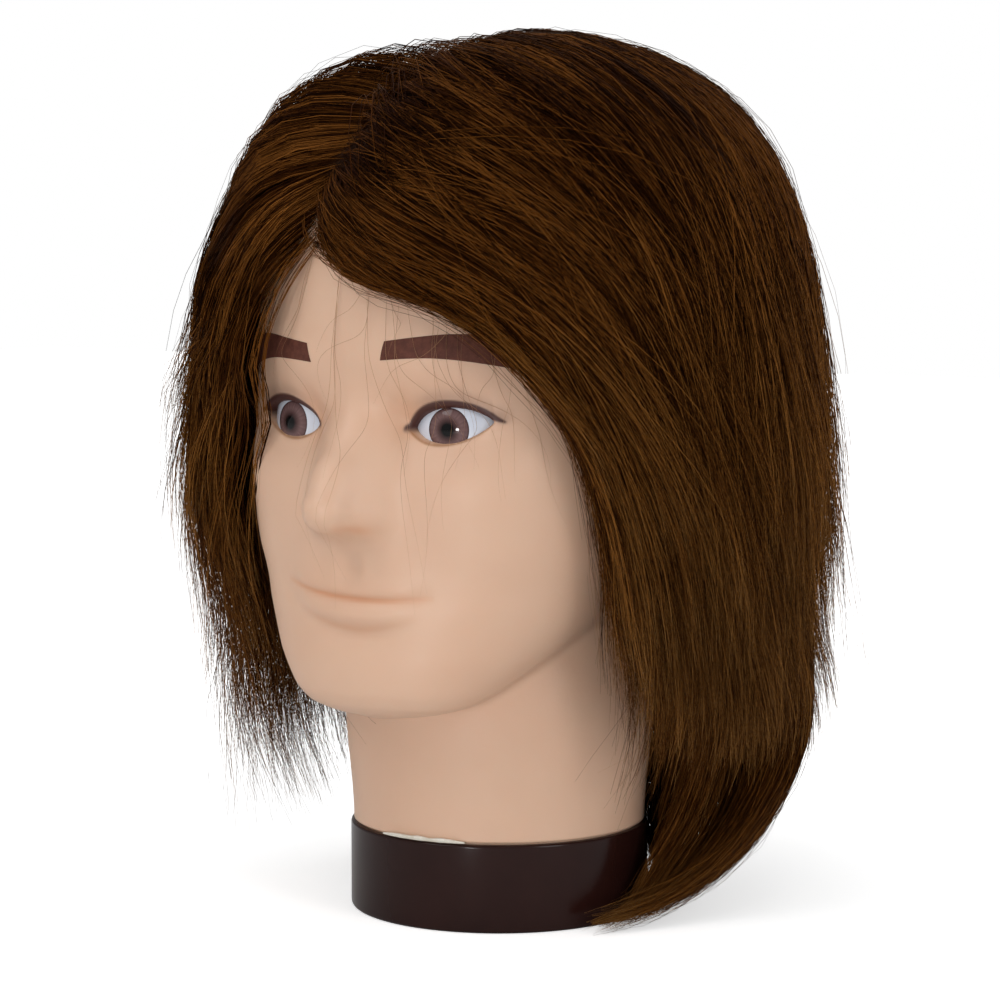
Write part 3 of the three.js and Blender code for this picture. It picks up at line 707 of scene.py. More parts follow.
def dress_hidden_nodes():
    """Procedural materials for the inner nodes that keep their own shape."""
    foam = plain_material("foam_cells", (0.62, 0.52, 0.30), (0.74, 0.66, 0.44), 0.9, 400, 0.5)
    latex = plain_material("latex_coat", (0.72, 0.66, 0.48), (0.82, 0.77, 0.60), 0.6, 90, 0.3)
    socket = plain_material("socket_plastic", (0.012, 0.012, 0.013), (0.022, 0.022, 0.024), 0.4, 150, 0.1)
    ribs = plain_material("rib_plastic", (0.020, 0.009, 0.007), (0.030, 0.013, 0.010), 0.3, 100, 0.1)
    glue = plain_material("dried_glue", (0.62, 0.58, 0.48), (0.80, 0.77, 0.70), 0.5, 300, 0.6)
    chosen = {"foam_core": foam, "scalp_seal": latex, "clamp_socket": socket, "seam_glue": glue}
    chosen.update({f"cup_rib_{i}": ribs for i in range(1, 7)})
    for node, material in chosen.items():
        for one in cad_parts[node].material_slots:
            one.material = material


# -------------------- hair: how it lies

# The hair's outer face: height, half width, widest y, front, back, power.
HAIR_STATIONS = np.array([
    (14, 66, 24, -26, 84, 2.4),
    (44, 76, 22, -44, 92, 2.4),
    (66, 84, 20, -58, 99, 2.5),
    (93, 88, 16, -76, 102, 2.5),
    (125, 90.5, 14, -90, 106, 2.5),
    (150, 90.5, 14, -93, 108, 2.4),
    (175, 91, 14, -92, 110, 2.3),
    (185, 91, 14, -92, 110, 2.3),
])
HAIR_TOP_Z = 285.5
PART_X = -18.0
CROWN_Y = 30.0            # the parting ends here, in the crown's whorl
STRANDS = 42000
STRAND_POINTS = 15
STRAND_R = 0.13
STRAY_R = 0.05
STRAYS = 26
LOCK_STRANDS = (2300, 2310)            # in the tail and in the sheet behind the cup
LONGEST = 330.0
STRIDE = 5.0              # length of one step along a strand
ROUNDING = 6              # passes that round the turn where a strand leaves the scalp
LAYER_STEP = 3.0          # the most that a strand rises or sinks in one step
FLOW_REACH = 17.0         # how far a lock steers the strands beside it
CLUMPS = 5000             # small groups of strands that close to a point
LOCKS = 340               # broad locks that share a shade
SHADES = 64
MOST_TRIANGLES = 195000   # in one mesh
SIDE_REACH = 103.0        # strands that stand out farther to a side than this are drawn in
DRAWN_IN = 0.6            # by this share of what is beyond
LOOSE_SHARE = 0.05        # of the strands, which stray from their clumps
LOOSE_WAVE = 4.5
CLUMP_FLICK = 5.0         # spread of how far the ends of a clump turn out
OWN_FLICK = 2.5
TEMPLE_BULGE = 7.5
STRAIGHT_HANG = 0.0055    # how fast the hair below the right jaw leaves the neck
PARTING_BULK = 0.42       # extra height of the hair on the right of the parting
FRINGE_STEER = 0.13       # how hard strands below the fringe's edge are steered up to it
SCALP_GAP = 0.35          # strands come no nearer to the scalp than this
FACE_GAP = 0.6            # nor to the face

# Locks that the rest of the hair follows, each from its root to its tip. Left of the parting:
LEFT_LOCKS = [
    [(-17, -78, 225), (-11, -82, 218), (-3, -85, 212), (8, -86, 208), (22, -85, 204), (36, -79, 199),
     (49, -71, 190), (58, -62, 178), (64, -54, 163), (68, -46, 146), (69, -39, 127), (67, -33, 106),
     (64, -28, 84), (62, -22, 56)],
    [(-18, -66, 241), (-11, -75, 235), (4, -81, 228), (25, -81, 219), (46, -74, 206), (61, -63, 189),
     (69, -53, 166), (73, -44, 141), (74, -36, 115), (72, -30, 88), (69, -25, 56)],
    [(-18, -50, 257), (-9, -60, 254), (8, -67, 248), (31, -67, 238), (53, -58, 220), (70, -46, 196),
     (80, -35, 169), (85, -25, 140), (86, -16, 110), (82, -10, 80), (76, -6, 50)],
    [(-18, -25, 270), (-6, -34, 271), (13, -38, 268), (38, -35, 258), (61, -27, 240), (78, -16, 213),
     (88, -6, 180), (92, 2, 145), (92, 8, 110), (88, 12, 80), (81, 14, 50)],
    [(-14, 6, 280), (0, 2, 282), (22, 0, 278), (46, 4, 265), (66, 12, 244), (80, 22, 214),
     (88, 32, 180), (91, 38, 145), (91, 42, 110), (87, 42, 80), (79, 40, 50)],
    [(-10, 34, 282), (10, 42, 279), (32, 54, 266), (52, 68, 244), (68, 78, 212), (76, 82, 178),
     (80, 80, 145), (82, 74, 112), (80, 66, 82), (74, 58, 52)],
    [(-8, 42, 281), (4, 62, 276), (16, 84, 256), (28, 97, 226), (36, 103, 190), (42, 103, 155),
     (46, 99, 120), (48, 91, 90), (46, 80, 60)],
]
RIGHT_LOCKS = [
    [(-18, -78, 223), (-22, -83, 211), (-29, -83, 197), (-37, -79, 182), (-46, -73, 165),
     (-55, -67, 148), (-62, -60, 128), (-67, -55, 106), (-70, -52, 84), (-72, -50, 56)],
    [(-20, -66, 240), (-33, -74, 228), (-51, -73, 210), (-67, -64, 188), (-79, -55, 165),
     (-86, -50, 143), (-88, -48, 118), (-88, -47, 92), (-88, -46, 60)],
    [(-21, -50, 254), (-43, -52, 247), (-63, -44, 226), (-79, -34, 198), (-89, -26, 168),
     (-93, -20, 140), (-94, -18, 112), (-93, -18, 85), (-91, -18, 58)],
    [(-21, -20, 270), (-45, -18, 262), (-67, -10, 240), (-83, -2, 210), (-92, 6, 175), (-95, 10, 145),
     (-93, 12, 115), (-90, 14, 85), (-84, 14, 58)],
    [(-16, 16, 280), (-38, 26, 272), (-60, 38, 250), (-75, 48, 218), (-84, 54, 182), (-87, 56, 148),
     (-84, 54, 118), (-80, 52, 88), (-74, 48, 58)],
    [(-11, 40, 281), (-25, 62, 274), (-41, 80, 254), (-55, 90, 222), (-63, 94, 186), (-65, 92, 150),
     (-63, 87, 118), (-59, 78, 88), (-53, 68, 58)],
]
BACK_LOCKS = [
    [(-9, 42, 281), (-9, 66, 275), (-9, 90, 255), (-8, 105, 225), (-8, 113, 190), (-6, 114, 155),
     (-2, 110, 120), (4, 100, 90), (10, 88, 60)],
]


def flow_of(locks):
    """Places and directions along locks."""
    places, ways = [], []
    for lock in locks:
        points = np.array(lock, float)
        places.append(points)
        ways.append(unit(np.gradient(points, axis=0)))
    return np.concatenate(places), np.concatenate(ways)


def flow_at(p, flow):
    """The hair's direction at places near the locks; straight down far from them all."""
    places, ways = flow
    apart = (p ** 2).sum(1)[:, None] + (places ** 2).sum(1) - 2 * p @ places.T
    weight = np.exp(-np.maximum(apart, 0) / (2 * FLOW_REACH ** 2))
    way = weight @ ways
    way[:, 2] -= 0.003
    return way


def layer_distance(p, layer):
    """Zero on the scalp where layer is 0 and on the hair's outer face where layer is 1."""
    hair = stationed_body(HAIR_STATIONS, BROW_Z, HAIR_TOP_Z, p)
    return (1 - layer) * scalp_distance(p) + layer * hair


def scalp_distance(p):
    """Distance from the head without its nose, ears and face relief."""
    z = p[:, 2]
    skull = stationed_body(HEAD_STATIONS, BROW_Z, CROWN_Z, p)
    skull = np.where(z < CHIN_Z, np.maximum(skull, CHIN_Z - z), skull)
    neck = np.maximum(np.hypot(p[:, 0], p[:, 1] - 4) - 50, z - 150)
    return smooth_min(skull, neck, 14)


def rise_of(distance, p, here):
    """How fast a distance grows along each axis at places where it is already known."""
    return np.stack([(distance(p + 0.05 * axis) - here) / 0.05 for axis in np.eye(3)], -1)


def to_layer(p, layer):
    """Moves places to their layer, by LAYER_STEP at most. Returns them and the outward directions."""
    here = layer_distance(p, layer)
    rise = rise_of(lambda q: layer_distance(q, layer), p, here)
    steep = np.maximum((rise ** 2).sum(1), 0.04)
    move = -rise * (here / steep)[:, None]
    length = np.linalg.norm(move, axis=1, keepdims=True)
    p = p + move * np.minimum(1, LAYER_STEP / np.maximum(length, 1e-6))
    return p, rise / np.sqrt(steep)[:, None]


def hairline(turn):
    """Height of the hairline at turns from the front, radians."""
    at = np.degrees(np.abs(turn))
    return np.interp(at, [0, 22, 38, 52, 64, 76, 92, 106, 122, 140, 180],
                     [217, 216, 211, 200, 178, 152, 150, 128, 106, 94, 92])


def turn_of(p):
    """Turn of places about the head from the front, radians."""
    return np.arctan2(p[:, 0], -(p[:, 1] - 8))


def on_scalp(way):
    """Where rays from the middle of the skull meet the scalp."""
    return cast(scalp_distance, np.tile(SKULL_MIDDLE, (len(way), 1)), way, step=5)


def scatter_roots(count):
    """Places on the scalp inside the hairline."""
    way = unit(RNG.normal(size=(count * 8, 3)))
    roots = on_scalp(way[way[:, 2] > -0.85])
    turn = turn_of(roots)
    line = hairline(turn) + RNG.normal(0, 2.0, len(roots))
    edge = bell(roots[:, 2] - line, 14) * (np.abs(turn) < 1.3)
    parting = bell(roots[:, 0] - PART_X, 7) * (roots[:, 1] < CROWN_Y)
    kept = (roots[:, 2] > line) & (RNG.random(len(roots)) < 0.28 + 0.72 * np.maximum(edge, parting))
    return roots[kept][:count]


def thicken_fringe(roots):
    """More roots at the foot of the parting, where the fringe springs from."""
    x, y, z = roots.T
    near = roots[(x > PART_X) & (x < 22) & (z < 236) & (y < 0)]
    more = np.repeat(near, 3, axis=0)
    more += RNG.normal(0, 1.8, more.shape)
    return np.concatenate([roots, to_layer(more, np.zeros(len(more)))[0]])


def is_left(p):
    """Which side of the parting places are on; behind the crown the two sides meet."""
    return p[:, 0] > PART_X + 8 * smooth((p[:, 1] + 20) / 60)


def below_fringe(p):
    """How far places on the forehead are below the edge that the fringe sweeps along, millimetres."""
    x, y, z = p.T
    edge = np.interp(x, [-18, -14, -7, 5, 21, 36, 49, 58, 64, 68],
                     [221, 215, 211, 208, 205, 200, 192, 180, 165, 150])
    return np.maximum(edge - z, 0) * smooth((-30 - y) / 20) * smooth((70 - x) / 10)


def comb_strands(roots, left, tip_z, depth, sway):
    """Paths of strands, one row of points a step, and the step at which each ends."""
    flows = {True: flow_of(LEFT_LOCKS + BACK_LOCKS), False: flow_of(RIGHT_LOCKS + BACK_LOCKS)}
    p = roots.copy()
    rise_length = 9 + 45 * smooth((250 - roots[:, 2]) / 110)
    lift = 4 + 8 * smooth((roots[:, 1] + 45) / 30) * smooth((roots[:, 2] - 228) / 20)
    path = [p.copy()]
    end = np.zeros(len(p))
    outward = None
    way = None
    for step in range(1, int(LONGEST / STRIDE)):
        risen = 1 - np.exp(-(step * STRIDE + lift) / rise_length)
        layer = depth * risen * (1 + 0.4 * smooth((105 - p[:, 2]) / 60))
        x, y, z = p.T
        beside_parting = smooth((PART_X + 5 - x) / 20) * smooth((z - 200) / 80) * smooth((55 - y) / 50)
        layer *= 1 + PARTING_BULK * (1 - left) * beside_parting
        wanted = np.empty_like(p)
        for side, flow in flows.items():
            chosen = left == side
            wanted[chosen] = flow_at(p[chosen], flow)
        wanted = unit(wanted)
        if outward is None:
            _, outward = to_layer(p, layer)
            way = wanted
        wanted[:, 2] += np.minimum(FRINGE_STEER * below_fringe(p), 1.1) * left
        aside = np.cross(outward, wanted)
        wanted += aside * sway[:, None]
        way = 0.45 * way + 0.55 * wanted
        way -= outward * (way * outward).sum(1, keepdims=True)
        way = unit(way)
        p, outward = to_layer(p + way * STRIDE, layer)
        path.append(p.copy())
        growing = (p[:, 2] > tip_z) & (end == step - 1)
        end[growing] = step
    path = np.array(path)
    for _ in range(ROUNDING):
        path[1:-1] += (path[:-2] - 2 * path[1:-1] + path[2:]) / 4
    return path, np.maximum(end, 3)


def resample(path, end, count):
    """count points along each strand, closer together at the root, as [strand, point, xyz]."""
    at = np.linspace(0, 1, count)[:, None] ** 1.4 * end
    low = np.minimum(at.astype(int), len(path) - 2)
    part = (at - low)[..., None]
    strand = np.arange(path.shape[1])
    return ((1 - part) * path[low, strand] + part * path[low + 1, strand]).transpose(1, 0, 2)


def comb_back(strands):
    """Draws strands that hang over the cheeks back to the edge where the hair frames the face."""
    x, y, z = strands[..., 0], strands[..., 1], strands[..., 2]
    left_edge = np.interp(z, [30, 75, 90, 105, 120, 134, 155, 172],
                          [-19, -24, -28, -34, -40, -45, -50, -64])
    right_edge = np.interp(z, [30, 80, 120, 150, 172], [-44, -50, -56, -59, -71])
    edge = np.where(x > 0, left_edge, right_edge)
    below = smooth((182 - z) / 22)
    combed = strands.copy()
    combed[..., 1] = np.where(y < edge, y + 0.82 * below * (edge - y), y)
    return combed


def fill_temple(strands):
    """Lets the hair beside the right temple stand out fuller and hang straight below the jaw."""
    count, points, _ = strands.shape
    z = strands[..., 2]
    turn = np.degrees(np.arctan2(strands[..., 0], -strands[..., 1]))
    own = RNG.uniform(0.1, 1.1, (count, 1))
    amount = TEMPLE_BULGE * smooth((238 - z) / 45) + STRAIGHT_HANG * np.maximum(105 - z, 0) ** 2 * own
    amount *= bell(turn + 62, 34) * smooth(3 * np.linspace(0, 1, points))
    return strands + amount[..., None] * (-0.82, -0.57, 0)


def flick(strands, amount):
    """Turns the ends out from the head by an amount of millimetres for each strand."""
    t = np.linspace(0, 1, strands.shape[1])[None, :, None]
    out = unit(strands * (1, 1, 0) - (0, 8, 0))
    return strands + out * amount[:, None, None] * smooth(t * 2.2 - 1.2)


def gather(strands, guide, strength, pace):
    """Draws strands towards the guide strand of their clump, fully from 1 / pace of the way on."""
    t = np.linspace(0, 1, strands.shape[1])[None, :, None]
    pull = strength[:, None, None] * smooth(t * pace)
    return strands + (strands[guide] - strands) * pull


def wander(strands, size, waves):
    """Adds each strand's own slow wave, from nothing at the root."""
    count, points, _ = strands.shape
    t = np.linspace(0, 1, points)
    out = strands.copy()
    for axis in range(3):
        phase = RNG.uniform(0, 2 * math.pi, (count, 1))
        rate = RNG.uniform(0.5, 1.0, (count, 1)) * waves * 2 * math.pi
        out[..., axis] += size[:, None] * t ** 1.4 * np.sin(rate * t + phase)
    return out


def outward_push(p, distance, gap):
    """The move that takes places nearer than a gap to a body out to that gap."""
    here = distance(p)
    rise = rise_of(distance, p, here)
    steep = np.maximum((rise ** 2).sum(1, keepdims=True), 0.1)
    return rise * np.maximum(gap - here, 0)[:, None] / steep


def keep_outside(strands):
    """Pushes points that are under the skin out to its surface, off the floor and in from far aside."""
    flat = strands.reshape(-1, 3).copy()
    for _ in range(2):
        low = np.flatnonzero(scalp_distance(flat) < SCALP_GAP)
        flat[low] += outward_push(flat[low], scalp_distance, SCALP_GAP)
    face = np.flatnonzero((flat[:, 1] < -5) & (flat[:, 2] > 60) & (scalp_distance(flat) < 5))
    flat[face] += outward_push(flat[face], head_distance, FACE_GAP)
    flat[:, 2] = np.maximum(flat[:, 2], 0.4)
    beyond = np.maximum(np.abs(flat[:, 0]) - SIDE_REACH, 0)
    flat[:, 0] -= DRAWN_IN * np.sign(flat[:, 0]) * beyond
    return flat.reshape(strands.shape)


# -------------------- hair: meshes

def strand_mesh(name, strands, thickness, shade):
    """Thin tapered three-sided tubes in one mesh. UVs hold a strand's shade and the way to its tip."""
    count, points, _ = strands.shape
    way = unit(np.gradient(strands, axis=1))
    aside = unit(np.cross(way, (0.31, 0.22, 0.93)))
    over = np.cross(way, aside)
    t = np.linspace(0, 1, points)
    taper = (0.25 + 0.75 * np.minimum(1, (1 - t) * 2.6)) * (0.6 + 0.4 * np.minimum(1, t * 12))
    radius = thickness[:, None] * taper
    ring = []
    for turn in (0, 2 * math.pi / 3, 4 * math.pi / 3):
        ring.append(strands + radius[..., None] * (math.cos(turn) * aside + math.sin(turn) * over))
    vertices = np.stack(ring, 2).reshape(-1, 3) * MM + AXIS

    corner = np.arange(3)
    after = (corner + 1) % 3
    base = (np.arange(count)[:, None, None] * points + np.arange(points - 1)[None, :, None]) * 3
    quads = np.stack([base + corner, base + after, base + 3 + after, base + 3 + corner], -1).reshape(-1, 4)

    mesh = bpy.data.meshes.new(name)
    mesh.vertices.add(len(vertices))
    mesh.vertices.foreach_set("co", vertices.ravel())
    mesh.loops.add(quads.size)
    mesh.loops.foreach_set("vertex_index", quads.ravel())
    mesh.polygons.add(len(quads))
    mesh.polygons.foreach_set("loop_start", np.arange(0, quads.size, 4))
    mesh.polygons.foreach_set("loop_total", np.full(len(quads), 4))
    mesh.update(calc_edges=True)
    mesh.polygons.foreach_set("use_smooth", np.ones(len(quads), bool))

    column = (np.floor(shade * SHADES)[:, None, None] + np.array([0.15, 0.5, 0.85])) / SHADES
    u = np.broadcast_to(column, (count, points, 3)).ravel()
    v = np.broadcast_to((0.02 + 0.96 * t)[None, :, None], (count, points, 3)).ravel()
    layer = mesh.uv_layers.new(name="OFBake")
    layer.data.foreach_set("uv", np.column_stack([u, v])[quads.ravel()].ravel())
    thing = bpy.data.objects.new(name, mesh)
    bpy.context.collection.objects.link(thing)
    return thing


SHADE_STOPS = (0.15, 0.50, 0.92)
# Dark, middle and light tone at the root, towards the tip and at the very end; the lighter tones towards
# the tip and at the end are painted light, the glow of light through thin hair.
HAIR_TONES_AND_TIP_GLOW = [
    [(0.007, 0.0014, 0.0002), (0.036, 0.0091, 0.0012), (0.198, 0.0710, 0.0135)],
    [(0.030, 0.0080, 0.0013), (0.108, 0.0365, 0.0064), (0.370, 0.1600, 0.0370)],
    [(0.060, 0.0230, 0.0060), (0.165, 0.0720, 0.0180), (0.420, 0.2150, 0.0700)],
]


def hair_material():
    """Dark chestnut hair: each strand has its own random tone, and lightens to gold-brown towards the tip
    as painted light, the glow of light through thin ends.
    """
    material = new_material("hair_fibre", Roughness=0.38, Metallic=0.5, Specular_IOR_Level=0.10,
                            Specular_Tint=(1.0, 0.55, 0.22, 1.0))
    g = Graph(material)
    uv = g.node("ShaderNodeUVMap", uv_map="OFBake").outputs["UV"]
    parts = g.node("ShaderNodeSeparateXYZ", {"Vector": uv})
    column = g.maths("FLOOR", g.maths("MULTIPLY", parts.outputs["X"], float(SHADES)))
    own = g.maths("DIVIDE", column, float(SHADES))
    roots, tips_with_painted_glow, painted_glow_ends = (g.ramp(own, list(zip(SHADE_STOPS, tones))) for tones in HAIR_TONES_AND_TIP_GLOW)
    along = parts.outputs["Y"]
    # painted light: towards the tip and at the very end the strands lighten for the glow of light through
    # thin hair
    colour = g.mix(g.mapped(along, 0.44, 1.05, kind="SMOOTHSTEP"), roots, tips_with_painted_glow)
    g.link(g.mix(g.mapped(along, 0.88, 1.0, kind="SMOOTHSTEP"), colour, painted_glow_ends), "Base Color")
    return material


def under_hair_material():
    """Painted shade: the dark mass that shows between strands, for the shade deep in the hair."""
    material = new_material("hair_shadow", Roughness=0.8, Specular_IOR_Level=0.1)
    g = Graph(material)
    streak = g.node("ShaderNodeMapping", {"Vector": g.place(), "Scale": (900, 900, 60)}).outputs["Vector"]
    streaks = g.noise(1.0, 3, 0.6, vector=streak)
    g.two_tone(streaks, 0.3, (0.009, 0.0026, 0.0005), 0.7, (0.030, 0.0090, 0.0014))
    g.bump(g.noise(1.0, 2, vector=streak), 0.4, 0.0006)
    return material


def parting_groove(p):
    """1 along the parting and 0 away from it."""
    x, y, z = p.T
    return bell(x - PART_X, 13) * smooth((10 - y) / 25) * smooth((z - 200) / 20)


def build_under_hair(material):
    """A dark cap of painted shade under the strands, sunk into the scalp along the hairline."""
    rows, columns = 70, 160
    turn = (full_turn(columns) + math.pi) % (2 * math.pi) - math.pi
    edge = np.arctan((hairline(turn) - SKULL_MIDDLE[2]) / 88)
    origin = np.tile(SKULL_MIDDLE, (columns, 1))
    grid = []
    for row in np.linspace(0, 1, rows):
        pitch = edge + (math.pi / 2 - 0.004 - edge) * row
        way = np.column_stack([np.sin(turn) * np.cos(pitch), -np.cos(turn) * np.cos(pitch), np.sin(pitch)])
        level = -0.08 + 0.38 * smooth((row - 0.05) / 0.25)

        def under_face(p):
            return layer_distance(p, level * (1 - 0.9 * parting_groove(p)))

        grid.append(cast(under_face, origin, way))
    cap = make_object("hair_shade_cap", np.concatenate(grid), grid_faces(rows, columns)[:, ::-1])
    finish_piece(cap, material, "hair")


def hair_zone(roots, left):
    """The hair node that each root belongs to."""
    _, y, z = roots.T
    side = np.where(left, "left", "right")
    turn = np.degrees(np.abs(turn_of(roots)))
    zone = np.where(turn < 120, "side", "under").astype(object)
    zone[z > 205] = "top"
    zone[(z < 205) & (turn < 78)] = "temple"
    zone[(z > 205) & (y < -28)] = "fringe"
    names = np.array([f"hair_{a}_{b}" for a, b in zip(zone, side)], dtype=object)
    names[(z > 190) & (y > 52)] = "hair_crown"
    names[(z < 190) & (turn > 148)] = "hair_occipital"
    names[(z < 122) & (turn > 120)] = "hair_nape"
    return names


def nearest_root(roots, sides, chosen):
    """For each root, which of the chosen roots on its side of the parting is nearest."""
    found = np.empty(len(roots), int)
    goals = roots[chosen]
    for start in range(0, len(roots), 1500):
        part = slice(start, start + 1500)
        apart = (goals ** 2).sum(1) - 2 * roots[part] @ goals.T
        apart += 1e4 * (sides[part, None] != sides[chosen][None])
        found[part] = chosen[apart.argmin(1)]
    return found


def build_hair(material):
    """Every strand rooted in the scalp, in one or more meshes for each hair node."""
    roots = thicken_fringe(scatter_roots(STRANDS))
    count = len(roots)
    blend = 2.5 + 13 * smooth((roots[:, 1] + 50) / 55)
    sides = is_left(roots + np.outer(RNG.normal(0, 1, count) * blend, (1, 0, 0)))
    guide = nearest_root(roots, sides, RNG.choice(count, min(CLUMPS, count // 8), replace=False))
    lock = nearest_root(roots, sides, RNG.choice(count, LOCKS, replace=False))

    own, shared, broad = RNG.random(count), RNG.random(count)[guide], RNG.random(count)[lock]
    high = smooth((roots[:, 2] - 150) / 90)
    front_right = (sides < 1) * smooth((40 - roots[:, 1]) / 50)
    mixed = 0.6 * shared + 0.4 * broad
    tip_z = 22 + 34 * own + (36 + 76 * high) * mixed
    spread_out = np.clip(0.5 + 1.6 * (mixed - 0.5), 0, 1)
    tip_z += front_right * (18 + 14 * own + 132 * spread_out - tip_z)
    depth = 0.98 - 0.42 * own ** 1.5 * (1 - 0.5 * high)
    depth = 0.5 * depth + 0.3 * depth[guide] + 0.2 * depth[lock] + 0.09 * (broad - 0.5)
    loose = RNG.random(count) < LOOSE_SHARE
    depth[loose] += RNG.uniform(0.02, 0.14, loose.sum())
    sway = 0.10 * RNG.normal(size=count)[lock]
    sway += 0.09 * RNG.normal(size=count)[guide] + 0.08 * RNG.normal(size=count)
    sway[loose] *= 2.2
    path, end = comb_strands(roots, sides, tip_z, depth, sway)
    strands = resample(path, end, STRAND_POINTS)
    strands = comb_back(strands)
    strands = gather(strands, lock, RNG.uniform(0.0, 0.45, count), 1.15)
    strands = gather(strands, guide, np.where(loose, 0, RNG.uniform(0.3, 0.95, count)), 2.4)
    strands = fill_temple(strands)
    layered = 4 * smooth((tip_z - 80) / 50)
    thrown = CLUMP_FLICK * RNG.normal(size=count)[guide] + OWN_FLICK * RNG.normal(size=count)
    strands = flick(strands, layered - 0.8 + thrown)
    strands = wander(strands, np.where(loose, LOOSE_WAVE, 0.4 + 4.0 * RNG.random(count) ** 3), 1.7)
    strands = keep_outside(strands)

    shade = 0.34 * RNG.random(count) + 0.40 * RNG.random(count)[guide] + 0.26 * broad
    shade = np.clip(0.5 + 2.1 * (shade - 0.5), 0, 0.999)
    thick = STRAND_R * (0.7 + 0.7 * RNG.random(count) ** 2)
    thick[loose] *= 0.6
    zones = hair_zone(roots, sides)
    for node in sorted(set(zones)):
        members = np.flatnonzero(zones == node)
        parts = math.ceil(len(members) * 6 * (STRAND_POINTS - 1) / MOST_TRIANGLES)
        for number in range(parts):
            chosen = members[number::parts]
            name = f"{node}_strands_{number + 1}" if parts > 1 else f"{node}_strands"
            piece = strand_mesh(name, strands[chosen], thick[chosen], shade[chosen])
            finish_piece(piece, material, "hair", node)


# Long locks from the nape, as rings down to the tip: turn from the back towards the left (degrees),
# distance from the neck's axis, height, half width (degrees), half depth.
TAIL = [
    (33, 93, 104, 20, 12), (42, 93, 72, 19, 12), (50, 90, 52, 18, 11), (57, 83, 34, 17, 9.5),
    (66, 74, 20, 15, 8), (80, 66, 11, 11, 5.5), (96, 60, 6, 7, 3.5), (112, 56.5, 3.5, 3, 2),
]
NAPE_SHEET = [
    (15, 80, 104, 44, 10), (24, 74, 76, 44, 12), (32, 69, 52, 42, 12), (40, 63.5, 32, 40, 12),
    (54, 58, 17, 37, 9.5), (73, 56, 8, 25, 6), (95, 54, 4, 10, 3),
]


def build_lock(name, rings, count, material, *nodes):
    """Strands rooted in the nape that run together along rings to one tip."""
    count = count // 1
    a = RNG.uniform(0, 2 * math.pi, count)
    r = np.sqrt(RNG.random(count))
    across, deep = r * np.cos(a), r * np.sin(a)
    knots = []
    for turn, radius, height, half_width, half_depth in rings:
        at = np.radians(turn + half_width * across)
        out = radius + half_depth * deep
        knots.append(np.column_stack([out * np.sin(at), out * np.cos(at), np.full(count, float(height))]))
    at = np.radians(rings[0][0] + rings[0][3] * across)
    way = np.column_stack([np.sin(at), np.cos(at), RNG.uniform(-0.85, -0.45, count)])
    knots = np.array([on_scalp(unit(way))] + knots)
    t = np.linspace(0, 1, STRAND_POINTS * 4)
    table = np.column_stack([np.linspace(0, 1, len(knots)), knots.reshape(len(knots), -1)])
    path = station_at(table, t).T.reshape(len(t), count, 3)
    end = (len(t) - 1) * (1 - 0.45 * RNG.random(count) ** 1.6)
    strands = wander(resample(path, end, STRAND_POINTS), 0.4 + 4.0 * RNG.random(count) ** 4, 1.6)
    thick = STRAND_R * RNG.uniform(0.8, 1.15, count)
    piece = strand_mesh(name, keep_outside(strands), thick, RNG.uniform(0.15, 0.85, count))
    finish_piece(piece, material, "hair", *nodes)


def build_strays():
    """Single fine hairs that fall from the fringe over the forehead, the nose and the cheeks."""
    t = np.linspace(0, 1, 30)
    strands = []
    for _ in range(STRAYS):
        x0 = RNG.uniform(-18, 56)
        z0 = 217 - 0.42 * (x0 + 18)
        z1 = z0 - RNG.uniform(20, 60) if RNG.random() < 0.5 else RNG.uniform(92, 150)
        bow = RNG.normal(0, 8)
        x = x0 + RNG.normal(0, 11) * t + bow * np.sin(RNG.uniform(2.0, 6.5) * t + RNG.uniform(-1, 1)) * t
        z = z0 + (z1 - z0) * (t + 0.10 * np.sin(2 * math.pi * t))
        y = front_y(x, z, lift=RNG.uniform(0.5, 2.5))
        for _ in range(6):
            y[1:-1] = np.minimum(y[1:-1], (y[:-2] + y[2:]) / 2)
        strands.append(np.column_stack([x, y, z]))
    material = plain_material("stray_fibre", (0.20, 0.085, 0.030), (0.42, 0.22, 0.09), 0.4, 40, 0.0)
    shade = RNG.uniform(0.4, 0.99, STRAYS)
    piece = strand_mesh("hair_stray_strands", np.array(strands), np.full(STRAYS, STRAY_R), shade)
    finish_piece(piece, material, "hair", "hair_fringe_left")


# -------------------- stage

ROOM_LIGHT = 0.48         # the room's own light; the backdrop behind the object stays white
FLOOR_GLOW = 0.52
FLOOR_HALF = 3000
LIGHTS_AIM_Z = 0.15
# Name, azimuth from the front, height, distance, width, height of the box (metres), watts.
SOFTBOXES = [
    ("softbox_left", -20, 1.25, 1.25, 0.6, 0.9, 6.0),
    ("softbox_right", 75, 0.65, 1.6, 0.5, 1.0, 6.4),
    ("softbox_top", 35, 1.9, 0.6, 1.2, 1.2, 3.4),
    ("catch_light", 13, 0.11, 1.2, 0.13, 0.13, 2.5),
]


def floor_material():
    """White floor that glows a little to the viewer away from the object, so its shadow fades out."""
    material = new_material("floor_white", Roughness=0.9, Specular_IOR_Level=0.1)
    g = Graph(material)
    g.two_tone(g.noise(3, 3), 0.3, (0.90, 0.90, 0.90), 0.7, (0.92, 0.92, 0.92))
    away = g.node("ShaderNodeVectorMath", {0: g.place()}, operation="LENGTH").outputs["Value"]
    glow = g.mapped(away, 0.07, 0.40, FLOOR_GLOW, 1.0, kind="SMOOTHSTEP")
    g.link(g.maths("MULTIPLY", glow, g.seen()), "Emission Strength")
    g.shader.inputs["Emission Color"].default_value = (1, 1, 1, 1)
    return material


def put(name, data, place, back):
    """An object at a place, turned so that it looks away from back."""
    thing = bpy.data.objects.new(name, data)
    thing.location = place
    thing.rotation_mode = "QUATERNION"
    thing.rotation_quaternion = back.to_track_quat("Z", "Y")
    bpy.context.collection.objects.link(thing)
    return thing


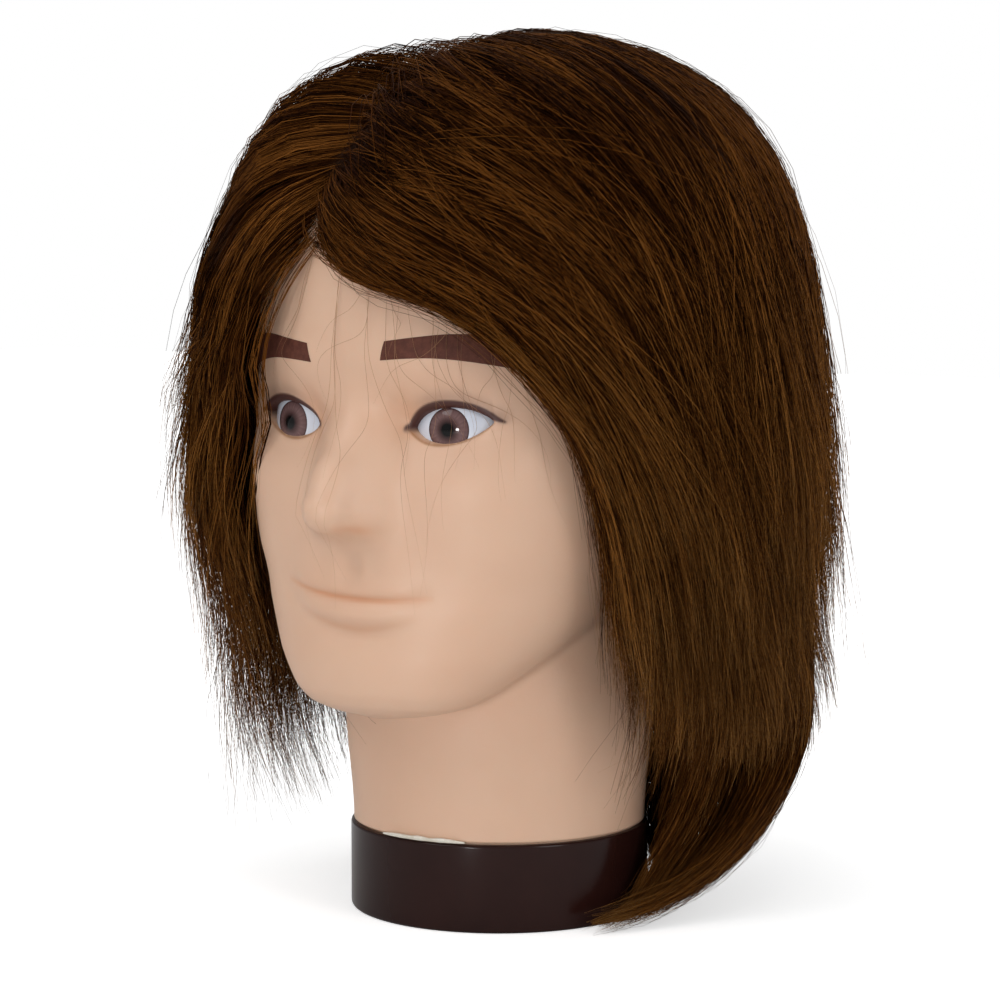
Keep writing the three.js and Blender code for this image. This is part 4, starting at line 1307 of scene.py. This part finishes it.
def build_stage():
    """A wide white floor, an even white room and four soft lights."""
    side = FLOOR_HALF
    floor = make_object("floor", [(-side, -side, 0), (side, -side, 0), (side, side, 0), (-side, side, 0)],
                        [(0, 1, 2, 3)], smooth_shading=False)
    floor.data.materials.append(floor_material())

    scene = bpy.context.scene
    world = bpy.data.worlds.new("studio")
    world.use_nodes = True
    room = Graph(world, "Background")
    room.shader.inputs["Color"].default_value = (1, 1, 1, 1)
    room.link(room.mapped(room.seen(), to_low=ROOM_LIGHT), "Strength")
    scene.world = world
    scene.view_settings.view_transform = "Standard"
    scene.view_settings.look = "None"

    for name, azimuth, height, distance, width, tall, power in SOFTBOXES:
        lamp = bpy.data.lights.new(name, "AREA")
        lamp.shape = "RECTANGLE"
        lamp.size, lamp.size_y, lamp.energy = width, tall, power
        turn = math.radians(azimuth)
        place = Vector((distance * math.sin(turn), -distance * math.cos(turn), height)) + Vector(AXIS)
        put(name, lamp, place, place - Vector((AXIS[0], AXIS[1], LIGHTS_AIM_Z)))


CAMERA_AZIMUTH = math.radians(34.85)
CAMERA_PITCH = math.radians(5.31)
CAMERA_DISTANCE = 1.0
CAMERA_Z = 0.225
CAMERA_ASIDE = 0.0002
CAMERA_LENS = 111.35
SENSOR = 36


def build_camera():
    """A long lens at the head's left front, a little above the brow and tilted down."""
    lens = bpy.data.cameras.new("camera")
    lens.lens = CAMERA_LENS
    lens.sensor_width = SENSOR
    right = Vector((math.cos(CAMERA_AZIMUTH), math.sin(CAMERA_AZIMUTH), 0))
    back = Vector((math.sin(CAMERA_AZIMUTH), -math.cos(CAMERA_AZIMUTH), 0))
    place = Vector(AXIS) + back * CAMERA_DISTANCE + right * CAMERA_ASIDE
    place.z = CAMERA_Z
    tilt = back * math.cos(CAMERA_PITCH) + Vector((0, 0, math.sin(CAMERA_PITCH)))
    bpy.context.scene.camera = put("camera", lens, place, tilt)


# -------------------- everything together

build_camera()
build_stage()
build_skin(vinyl_material())
brow_paint = paint_material()
eye_white = eye_white_material()
for side in (1, -1):
    build_brow(side, brow_paint)
    build_eye(side, eye_white, iris_material("iris_left" if side > 0 else "iris_right"))
build_cup(cup_material())
dress_hidden_nodes()
build_under_hair(under_hair_material())
hair_fibre = hair_material()
build_hair(hair_fibre)
build_lock("hair_tail_strands", TAIL, LOCK_STRANDS[0], hair_fibre, "hair_tail")
build_lock("hair_nape_sheet", NAPE_SHEET, LOCK_STRANDS[1], hair_fibre, "hair_nape")
build_strays()
